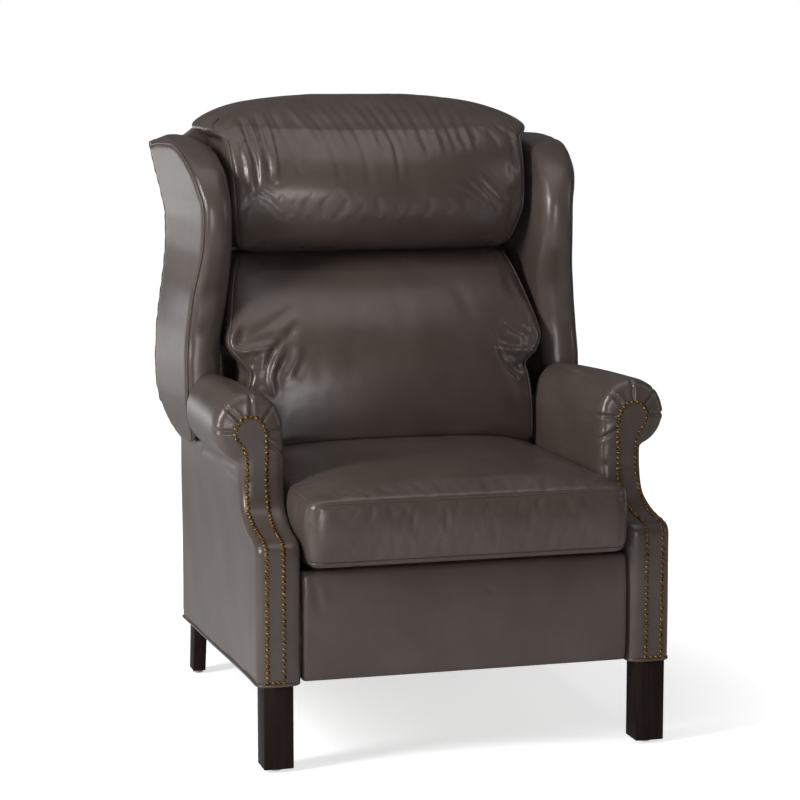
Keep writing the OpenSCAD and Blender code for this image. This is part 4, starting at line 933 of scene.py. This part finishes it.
class RECLINER_OT_wings(bpy.types.Operator):
    """Padded wings, with a seam between the outside panel and the front band"""

    bl_idname = "recliner.wings"
    bl_label = "Wings"

    def execute(self, context):
        low, height, depth, half = 482 * mm, 583 * mm, 350 * mm, 407 * mm
        shares = np.concatenate([[0, 0.004, 0.01, 0.02], np.linspace(0.035, 0.95, 56),
                                 [0.965, 0.978, 0.988, 0.995, 1]])
        nose = 30 * mm
        rings, seam = [], []
        for share, (deep, cut, out, rear_out, inside) in zip(shares, smooth_table(wing_rows, shares)):
            z = low + height * share
            rear, front = back_face(z) - depth * cut - 0.5 * mm, back_face(z) - depth * deep
            x_out, x_rear, x_in = half * out, half * rear_out, half * inside
            mid, reach = (x_in + x_out) / 2, (x_out - x_in) / 2
            start = min(front + nose, rear - 2 * mm)
            ring = [(x_in, rear + (start - rear) * k / 12, z) for k in range(12)]
            # Round the nose, whose outer half is squarer than its inner one
            for k in range(17):
                a = math.pi * (1 + k / 16)
                power = 1.0 if k <= 8 else 0.62
                ring.append((mid + reach * math.copysign(abs(math.cos(a)) ** power, math.cos(a)),
                             start + (start - front) * math.copysign(abs(math.sin(a)) ** power, math.sin(a)), z))
            ring += [(x_out + (x_rear - x_out) * k / 12, start + (rear - start) * k / 12, z) for k in range(1, 13)]
            rings.append(ring)
            if 0.012 < share < 0.985:
                seam.append((x_out - 2 * mm, front + 7 * mm, z))
        right = skin_over(loft("wing_leather_right", rings), 5, 4.5 * mm)
        self.droop(right)
        path = run_through(seam)
        rear_top = [(0.404, back_face(1.040) - 0.06, 1.050), (0.403, back_face(1.04) - 0.01, 1.046)]
        path = np.vstack([path, run_through([path[-1], *rear_top])[1:]])
        press_seam(right, path, 1.6 * mm)
        self.ripple(right)
        left = mirrored(right, "wing_leather_left")
        for name, piece in (("right", right), ("left", left)):
            dress(piece, "back", "padded_leather", f"wing_{name}", fill=0.9)
            lay_welt(f"wing_welt_{name}", path * (sides[name], 1, 1), surface_of(piece), 0.7 * mm, "back", 1.9 * mm)
        return {"FINISHED"}

    def droop(self, piece):
        """The top runs down towards its rear outer corner."""
        places = points_of(piece)
        x, y, z = places.T
        top = np.clip((z - 1.028) / 0.032, 0, 1)
        outer = np.clip((x - 0.365) / 0.035, 0, 1)
        rear = np.clip((y - back_face(z) + 0.13) / 0.11, 0, 1)
        places[:, 2] -= 12 * mm * top * outer * rear * rear
        move_points(piece, places)

    def ripple(self, piece):
        """Faint hollows across the front band, where the hide is pulled round the curve."""
        places, normals = points_of(piece), normals_of(piece)
        front = np.clip(-normals[:, 1], 0, 1) ** 1.5
        wave = 0.35 * np.sin(places[:, 2] / 0.021 + 6 * np.sin(places[:, 2] * 9) + places[:, 0] * 60)
        move_points(piece, places + normals * (front * wave * mm)[:, None])


class RECLINER_OT_outside_back(bpy.types.Operator):
    """Outside back panel and the lower rear panel, drawn tight over their boards"""

    bl_idname = "recliner.outside_back"
    bl_label = "Outside Back"

    def execute(self, context):
        back = skin_over(node_copy("outside_back_leather", "outside_back"), 4)
        dress(back, "back", "leather", "outside_back")
        low = skin_over(node_copy("base_rear_leather", "base_rear_panel"), 4, 4 * mm)
        dress(low, "base", "leather", "base_rear_panel")
        return {"FINISHED"}


class RECLINER_OT_arms(bpy.types.Operator):
    """Scroll arms, each one skin from the roll down its double curve to the post and the side"""

    bl_idname = "recliner.arms"
    bl_label = "Arms"

    def execute(self, context):
        right = joined("arm_leather_right", self.roll(), self.wall(), self.post(), self.side())
        skin_over(right, 5, 4.5 * mm)
        self.refine_scroll(right)
        self.pleats(right)
        self.under_seam(right)
        self.wander(right)
        left = mirrored(right, "arm_leather_left")
        for name, piece in (("right", right), ("left", left)):
            dress(piece, "base", "padded_leather", f"arm_roll_{name}", f"inside_arm_{name}",
                  f"front_post_{name}", f"outside_arm_{name}", fill=0.95)
        return {"FINISHED"}

    def roll(self):
        """The roll swept back from its nose, round above and drawn in to the neck below."""
        s = scroll
        shares = np.linspace(0, 1, 14)
        stations = [(s["front"] + s["nose"] * d, 0.0, k)
                    for d, k in zip(shares, smooth_table(nose_rows, shares)[:, 0])]
        start = s["front"] + s["nose"]
        stations += [(start + (s["rear"] - start) * t, t, 1.0) for t in np.linspace(0.04, 1, 24)]
        rings = []
        for y, t, k in stations:
            cx, cz = s["x"] + (s["rear_x"] - s["x"]) * t, s["z"] + (s["rear_z"] - s["z"]) * t
            a = (s["radius"] + (s["rear_half_w"] - s["radius"]) * t) * k
            b = (s["radius"] + (s["rear_half_h"] - s["radius"]) * t + s["crown"] * math.sin(math.pi * t)) * k
            low_x = s["under"] + (s["rear_x"] + s["rear_half_w"] / 4 - s["under"]) * t
            ring = [(s["wall"] if k > 0.9 else s["wall"] + (1 - k) * 22 * mm, y, s["neck"])]
            for j in range(41):
                angle = math.radians(180 - (180 + 78) * j / 40)
                ring.append((cx + a * math.cos(angle), y, cz + b * math.sin(angle)))
            ring.append((low_x, y, s["neck"]))
            rings.append(ring)
        return loft("roll", rings)

    def wall(self):
        """Inside of the arm, from the seat's level up into the roll."""
        ring = rounded_box_ring(scroll["wall"], 318 * mm, -262 * mm, 135 * mm, 8 * mm, along=6)
        heights = np.linspace(scroll["foot"], 560 * mm, 12)
        return loft("inside_wall", [[(x, y, z) for x, y in ring] for z in heights])

    def post(self):
        """Post and neck: level rounded sections that follow the double curve of the arm's front."""
        heights = np.concatenate([np.linspace(0.152, 0.37, 12), np.linspace(0.374, 0.46, 60),
                                  np.linspace(0.47, 0.535, 10)])
        box = post_box
        rings = []
        for z, front in zip(heights, smooth_table(arm_front_rows, heights)[:, 0]):
            share = min(max((box["front"] - front) / box["set_back"], 0), 1)
            rear = box["rear"] + box["rear_step"] * min(max((z - box["step_from"]) / box["step_run"], 0), 1)
            ring = rounded_box_ring(box["inner"] - 5 * mm * share, box["outer"] - 2 * mm * share, -front, rear,
                                    box["corner"], along=6)
            rings.append([(min(x, self.side_x(y)), y, z) for x, y in ring])
        return loft("post", rings)

    def side(self):
        """The side panel. Under the roll its upper edge is raised, so that it reaches into the roll."""
        panel = node_copy("side_panel", "outside_arm_right")
        places = points_of(panel)
        roll_end, fade, upper_edge, rise = 118 * mm, 24 * mm, 470 * mm, 20 * mm
        under_roll = np.clip((roll_end - places[:, 1]) / fade, 0, 1) * (places[:, 2] > upper_edge)
        places[:, 2] += rise * under_roll
        move_points(panel, places)
        return panel

    def side_x(self, y):
        """Outer face of the side panel, which draws in towards the back."""
        return post_box["outer"] - max(0, y + 350 * mm) * 15 / 687

    def refine_scroll(self, piece):
        """Finer mesh where the pleats go."""
        only(piece)
        bpy.ops.object.mode_set(mode="EDIT")
        mesh = bmesh.from_edit_mesh(piece.data)
        for face in mesh.faces:
            middle = face.calc_center_median()
            face.select_set(middle.y < -222 * mm and middle.z > 500 * mm)
        bmesh.update_edit_mesh(piece.data)
        bpy.ops.mesh.subdivide(number_cuts=1, smoothness=0.3)
        bpy.ops.object.mode_set(mode="OBJECT")

    def pleats(self, piece):
        """Radial pleats from the nail circle over the rim of the scroll."""
        places, normals = points_of(piece), normals_of(piece)
        x, y, z = places.T
        off = np.stack([x - pleat_centre[0], z - pleat_centre[1]])
        radius, angle = np.hypot(*off), np.degrees(np.arctan2(off[1], off[0])) % 360
        lift = np.zeros(len(places))
        back = y - scroll["front"]
        nail_circle, rim_end, crease_end, neck_top = 27 * mm, 52 * mm, 30 * mm, 505 * mm
        fade = np.clip((radius - nail_circle) / (6 * mm), 0, 1) * np.clip((rim_end - back) / (14 * mm), 0, 1)
        fade *= np.clip((z - neck_top) / (20 * mm), 0, 1)
        reach = np.clip((crease_end - back) / (22 * mm), 0, 1)
        for pleat in pleat_angles:
            turn = (angle - pleat + 180) % 360 - 180
            gap = radius * np.sin(np.radians(turn))
            crease = (bump_of(gap - 0.4 * mm, 2.6 * mm) * 3.6 - bump_of(gap - 6.5 * mm, 5 * mm)
                      - bump_of(gap + 6.0 * mm, 5 * mm))
            lift -= (np.abs(turn) < 40) * crease * reach * mm
        move_points(piece, places + normals * (lift * fade)[:, None])
        finish_with(piece, "SMOOTH", factor=0.3, iterations=1)

    def under_seam(self, piece):
        """The seam below the roll, where the side leather meets it."""
        seam = [(373, -227, 507), (374, -150, 502), (374.5, -55, 494), (371, 30, 489), (368, 92, 484)]
        press_seam(piece, run_through(np.array(seam) * mm), 2.2 * mm)

    def wander(self, piece):
        """The side's leather lies a little unevenly over its board."""
        places, normals = points_of(piece), normals_of(piece)
        _, y, z = places.T
        wave = np.sin(y * 17 + 1.3) * np.sin(z * 13 + y * 6) + 0.5 * np.sin(y * 31 - z * 22)
        side = np.clip(normals[:, 0] - 0.6, 0, 1) * 2.5 * (z < 480 * mm)
        move_points(piece, places + normals * (wave * side * 0.7 * mm)[:, None])


class RECLINER_OT_facings(bpy.types.Operator):
    """Facing strips on the arm fronts and their rows of brass nails"""

    bl_idname = "recliner.facings"
    bl_label = "Facings and Nails"

    def execute(self, context):
        heights = np.concatenate([np.linspace(0.154, 0.37, 30), np.linspace(0.374, 0.46, 50),
                                  np.linspace(0.465, 0.592, 34), [0.5945, 0.5965, 0.598]])
        fronts = smooth_table(arm_front_rows, heights)[:, 0]
        lines = smooth_table(nail_rows, np.clip(heights, 0.158, 0.598))
        outline = self.outline()
        outward = self.outward(outline[:, 2])
        for name, side in sides.items():
            arm = surface_of(bpy.data.objects[f"arm_leather_{name}"])
            strip = self.strip(name, side, heights, fronts, lines, arm)
            dress(strip, "base", "leather", f"arm_facing_{name}")
            nails = self.nails(name, outline * (side, 1, 1), outward, surface_of(strip))
            dress(nails, "base", "nail_brass", *(["nail_trim"] if name == "right" else []))
        return {"FINISHED"}

    def outward(self, heights):
        """Directions square to the arm's front at these heights."""
        ends = [smooth_table(arm_front_rows, np.clip(np.asarray(heights) + d, 0.153, 0.639))[:, 0] for d in (-mm, mm)]
        slope = (ends[1] - ends[0]) / (2 * mm)
        out = np.column_stack([np.zeros_like(slope), -np.ones_like(slope), -slope])
        return out / np.linalg.norm(out, axis=1, keepdims=True)

    def outline(self):
        """The line of the nails: up the outer edge, round the scroll, down the inner edge and across the foot."""
        heights = np.concatenate([np.linspace(0.158, 0.39, 24), np.linspace(0.394, 0.46, 30),
                                  np.linspace(0.465, 0.598, 40)])
        lines = smooth_table(nail_rows, heights)
        fronts = smooth_table(arm_front_rows, heights)[:, 0]
        up = np.column_stack([lines[:, 1], -fronts, heights])
        down = np.column_stack([lines[:, 0], -fronts, heights])[::-1]
        foot = np.array([[0.3387, -0.422, 0.158], [0.3483, -0.422, 0.158]])
        path = np.vstack([up, [[0.354, -0.283, 0.5995]], down, foot])
        return run_through(path, sizes().nail_pitch, closed=True)

    def strip(self, name, side, heights, fronts, lines, tree):
        """A thin band of leather laid on the arm's front between the nail lines."""
        across, edge, lift = 9, 2.4 * mm, 1.0 * mm
        places, faces = [], []
        for z, front, (inner, outer), out in zip(heights, fronts, lines, self.outward(heights)):
            for k in range(across + 1):
                x = (inner - edge) + (outer - inner + 2 * edge) * k / across
                start = Vector((side * x, -front, z)) + Vector(out * probe)
                place, normal, _, _ = tree.ray_cast(start, Vector(-out))
                if place is None:
                    raise RuntimeError(f"no skin in front of the facing at {z:.3f}")
                places.append(place + normal * lift)
        rows = len(heights)
        for i in range(rows - 1):
            for k in range(across):
                a = i * (across + 1) + k
                face = (a, a + 1, a + across + 2, a + across + 1)
                faces.append(face if side > 0 else face[::-1])
        strip = mesh_piece(f"arm_facing_leather_{name}", places, faces)
        finish_with(strip, "SMOOTH", factor=0.5, iterations=2)
        finish_with(strip, "SOLIDIFY", thickness=2.4 * mm, offset=-1)
        finish_with(strip, "SUBSURF", levels=1, render_levels=1)
        return strip

    def nails(self, name, line, outward, tree):
        """Domed heads, modelled once and copied along the line."""
        radius = sizes().nail_radius
        profile = [(1.0, 0.0), (0.97, 0.22), (0.80, 0.46), (0.50, 0.62), (0.0, 0.70)]
        turns = 12
        places, faces = [], []
        for place, out in zip(line, outward):
            hit, normal, _, _ = tree.ray_cast(Vector(place + out * probe), Vector(-out))
            if hit is None:
                hit, normal, _, _ = tree.find_nearest(Vector(place + out * 4 * mm))
            base = hit - normal * 0.3 * mm
            across = normal.orthogonal().normalized()
            up = normal.cross(across)
            start = len(places)
            for share, rise in profile[:-1]:
                for k in range(turns):
                    a = 2 * math.pi * k / turns
                    places.append(base + radius * (share * (math.cos(a) * across + math.sin(a) * up)
                                                   + rise * normal))
            places.append(base + radius * profile[-1][1] * normal)
            for ring in range(len(profile) - 2):
                for k in range(turns):
                    a, b = start + ring * turns + k, start + ring * turns + (k + 1) % turns
                    faces.append((a, b, b + turns, a + turns))
            last = start + (len(profile) - 2) * turns
            faces += [(last + k, last + (k + 1) % turns, len(places) - 1) for k in range(turns)]
            faces.append(tuple(start + k for k in range(turns))[::-1])
        return mesh_piece(f"nail_heads_{name}", places, faces)


class RECLINER_OT_base_welts(bpy.types.Operator):
    """Self welt round the lower edge of the base"""

    bl_idname = "recliner.base_welts"
    bl_label = "Base Welts"

    def execute(self, context):
        line = np.array([(300, -360, 151), (299, -400, 151), (305, -416, 151), (318, -421.5, 151),
                         (340, -421.5, 151), (358, -421.5, 151), (370, -416, 151), (374.5, -402, 151),
                         (375, -350, 151.5), (371, -200, 142), (367, -20, 130), (363, 160, 119), (360, 300, 110),
                         (359.5, 331, 108.5)])
        for name, side in sides.items():
            path = run_through(line * mm * (side, 1, 1))
            path[:, 2] += 2.5 * mm
            cord = welt(f"base_welt_{name}", eased(path, 2), 3 * mm)
            dress(cord, "base", "leather", *(["base_welts"] if name == "right" else []))
        return {"FINISHED"}


class RECLINER_OT_footrest(bpy.types.Operator):
    """Padded footrest panel that closes the front"""

    bl_idname = "recliner.footrest"
    bl_label = "Footrest Panel"

    def execute(self, context):
        low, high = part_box("footrest_pad")
        rear = high.y + 12 * mm
        shares = np.concatenate([[0, 0.008, 0.02], np.linspace(0.04, 0.96, 22), [0.98, 0.992, 1]])
        # Share of the height, share of the width, and inset of the front in mm
        rows = [[0, 0.990, 14], [0.012, 0.997, 7], [0.03, 1, 3.8], [0.10, 1, 1.6], [0.5, 1, 0], [0.65, 1, 0.5],
                [0.78, 1, 1.9], [0.90, 1, 3.9], [0.97, 1, 6], [0.988, 0.997, 8.5], [1, 0.990, 14]]
        rings = []
        for share, (wide, inset) in zip(shares, smooth_table(rows, shares)):
            z = low.z + (high.z - low.z) * share
            ring = rounded_box_ring(low.x * wide, high.x * wide, low.y + inset * mm, rear, 5 * mm, along=24)
            rings.append([(x, y, z) for x, y in ring])
        panel = skin_over(loft("footrest_leather", rings), 3, 4 * mm)
        folds = [((-0.277, 0.330), (-0.262, 0.270), 7 * mm, 0.7 * mm),
                 ((0.03, 0.305), (0.05, 0.288), 5 * mm, 0.4 * mm),
                 ((0.280, 0.325), (0.270, 0.255), 7 * mm, 0.7 * mm),
                 ((-0.25, 0.190), (-0.20, 0.180), 8 * mm, 0.4 * mm)]
        press_folds(panel, folds)
        dress(panel, "footrest", "padded_leather", "footrest_pad", fill=0.9)
        return {"FINISHED"}


class RECLINER_OT_front_rail_cover(bpy.types.Operator):
    """Leather drawn over the front rail, which shows when the footrest is out"""

    bl_idname = "recliner.front_rail_cover"
    bl_label = "Front Rail Cover"

    def execute(self, context):
        cover = node_copy("front_rail_leather", "front_rail")
        move_points(cover, points_of(cover) + normals_of(cover) * 0.8 * mm)
        dress(cover, "base", "leather")
        return {"FINISHED"}


class RECLINER_OT_legs(bpy.types.Operator):
    """Square front legs and raked rear legs, lacquered, with worn edges that also carry a painted highlight"""

    bl_idname = "recliner.legs"
    bl_label = "Legs"

    def execute(self, context):
        for name in sides:
            for which in ("front", "rear"):
                node = f"{which}_leg_{name}"
                leg = self.leg(node, which)
                leg.data.materials.append(espresso_lacquer())
                leg.data.materials.append(worn_and_highlit_edge_lacquer())
                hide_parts(node)
                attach(leg, "base")
        return {"FINISHED"}

    def leg(self, node, which):
        """A leg over its node's box. A rear one rakes back and tapers. Its edges, worn and with a painted highlight,
        are the second material.
        """
        low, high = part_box(node)
        bpy.ops.object.select_all(action="DESELECT")
        bpy.ops.mesh.primitive_cube_add(size=1, location=(low + high) / 2, scale=high - low)
        leg = bpy.context.object
        leg.name = node + "_lacquered"
        leg.data.name = leg.name
        bpy.ops.object.transform_apply(location=True, rotation=False, scale=True)
        if which == "rear":
            for v in leg.data.vertices:
                top = v.co.z > (low.z + high.z) / 2
                if v.co.y > (low.y + high.y) / 2:
                    v.co.y = high.y - (20 * mm if top else 0)
                else:
                    v.co.y = low.y if top else high.y - 38 * mm
        with editing(leg):
            # The bevels take the second material: worn edges painted paler, also as their highlight
            bpy.ops.mesh.bevel(offset=1.6 * mm, segments=2, material=1)
            bpy.ops.mesh.select_all(action="SELECT")
            bpy.ops.mesh.normals_make_consistent(inside=False)
        bpy.ops.object.shade_smooth_by_angle(angle=math.radians(30))
        return leg


class RECLINER_OT_frame_parts(bpy.types.Operator):
    """Finishes of the wooden frame, the mechanism, the springs and the deck"""

    bl_idname = "recliner.frame_parts"
    bl_label = "Frame and Mechanism"

    def execute(self, context):
        for part in frame["record"]["subparts"]:
            node, finish = frame["nodes"][part["node"]], finishes.get(part["material_slot"])
            if finish:
                for slot in node.material_slots:
                    slot.material = finish()
        return {"FINISHED"}


class RECLINER_OT_stage(bpy.types.Operator):
    """Pale floor, soft lights and the camera"""

    bl_idname = "recliner.stage"
    bl_label = "Stage"

    def execute(self, context):
        scene = context.scene
        bpy.ops.object.select_all(action="DESELECT")
        bpy.ops.mesh.primitive_plane_add(size=40, location=(0, 0, 0))
        floor = context.object
        floor.name = "floor"
        floor.data.materials.append(studio_floor())
        scene.world = self.world()
        for name, (place, aim, wide, high, power) in lamps.items():
            self.light(name, place, aim, wide, high, power)
        camera = bpy.data.cameras.new("camera")
        camera.lens, camera.sensor_width, camera.clip_end = sizes().lens, 36, 60
        view = placed("camera", camera)
        view.location = camera_place
        view.rotation_euler = (math.radians(90 - camera_down), 0, math.radians(-camera_right))
        scene.camera = view
        scene.view_settings.view_transform = "Standard"
        return {"FINISHED"}

    def world(self):
        """White to the camera. In reflections and as light it is dark, with a faint glow behind the chair."""
        world = bpy.data.worlds.new("studio")
        world.use_nodes = True
        tree = world.node_tree
        tree.nodes.clear()
        rays = add_node(tree, "ShaderNodeLightPath").outputs
        seen = combined(tree, "MAXIMUM", rays["Is Camera Ray"], rays["Is Transmission Ray"])
        way = add_node(tree, "ShaderNodeTexCoord").outputs["Generated"]
        behind = add_node(tree, "ShaderNodeSeparateXYZ", links={0: way}).outputs["Y"]
        backdrop = ranged(tree, behind, 0.0, 0.1, -0.15, 0.55, "SMOOTHSTEP")
        sky = add_node(tree, "ShaderNodeBackground", {"Color": (1, 1, 1, 1)},
                       {"Strength": combined(tree, "MAXIMUM", seen, backdrop)})
        add_node(tree, "ShaderNodeOutputWorld", links={"Surface": sky.outputs[0]})
        return world

    def light(self, name, place, aim, wide, high, power):
        lamp = bpy.data.lights.new(name, "AREA")
        lamp.shape, lamp.size, lamp.size_y, lamp.energy = "RECTANGLE", wide, high, power
        obj = placed(name, lamp)
        obj.location = place
        obj.rotation_euler = (Vector(aim) - Vector(place)).to_track_quat("-Z", "Y").to_euler()


steps = (RECLINER_OT_frame_parts, RECLINER_OT_seat_cushion, RECLINER_OT_lumbar_cushion, RECLINER_OT_head_pillow,
         RECLINER_OT_wings, RECLINER_OT_outside_back, RECLINER_OT_arms, RECLINER_OT_facings, RECLINER_OT_base_welts,
         RECLINER_OT_footrest, RECLINER_OT_front_rail_cover, RECLINER_OT_legs, RECLINER_OT_stage)


class RECLINER_PT_panel(bpy.types.Panel):
    """Sizes, colours and steps of the recliner"""

    bl_label = "Wing Recliner"
    bl_idname = "RECLINER_PT_panel"
    bl_space_type = "VIEW_3D"
    bl_region_type = "UI"
    bl_category = "Recliner"

    def draw(self, context):
        for group in (context.scene.recliner_sizes, context.scene.recliner_colours):
            for key in group.bl_rna.properties.keys():
                if key not in ("rna_type", "name"):
                    self.layout.prop(group, key)
        for step in steps:
            self.layout.operator(step.bl_idname)


classes = (ReclinerColours, ReclinerSizes, *steps, RECLINER_PT_panel)


def register():
    for cls in classes:
        bpy.utils.register_class(cls)
    bpy.types.Scene.recliner_colours = bpy.props.PointerProperty(type=ReclinerColours)
    bpy.types.Scene.recliner_sizes = bpy.props.PointerProperty(type=ReclinerSizes)


def unregister():
    del bpy.types.Scene.recliner_sizes
    del bpy.types.Scene.recliner_colours
    for cls in reversed(classes):
        bpy.utils.unregister_class(cls)


def main():
    register()
    for step in steps:
        group, name = step.bl_idname.split(".")
        getattr(getattr(bpy.ops, group), name)()


if __name__ == "__main__":
    main()
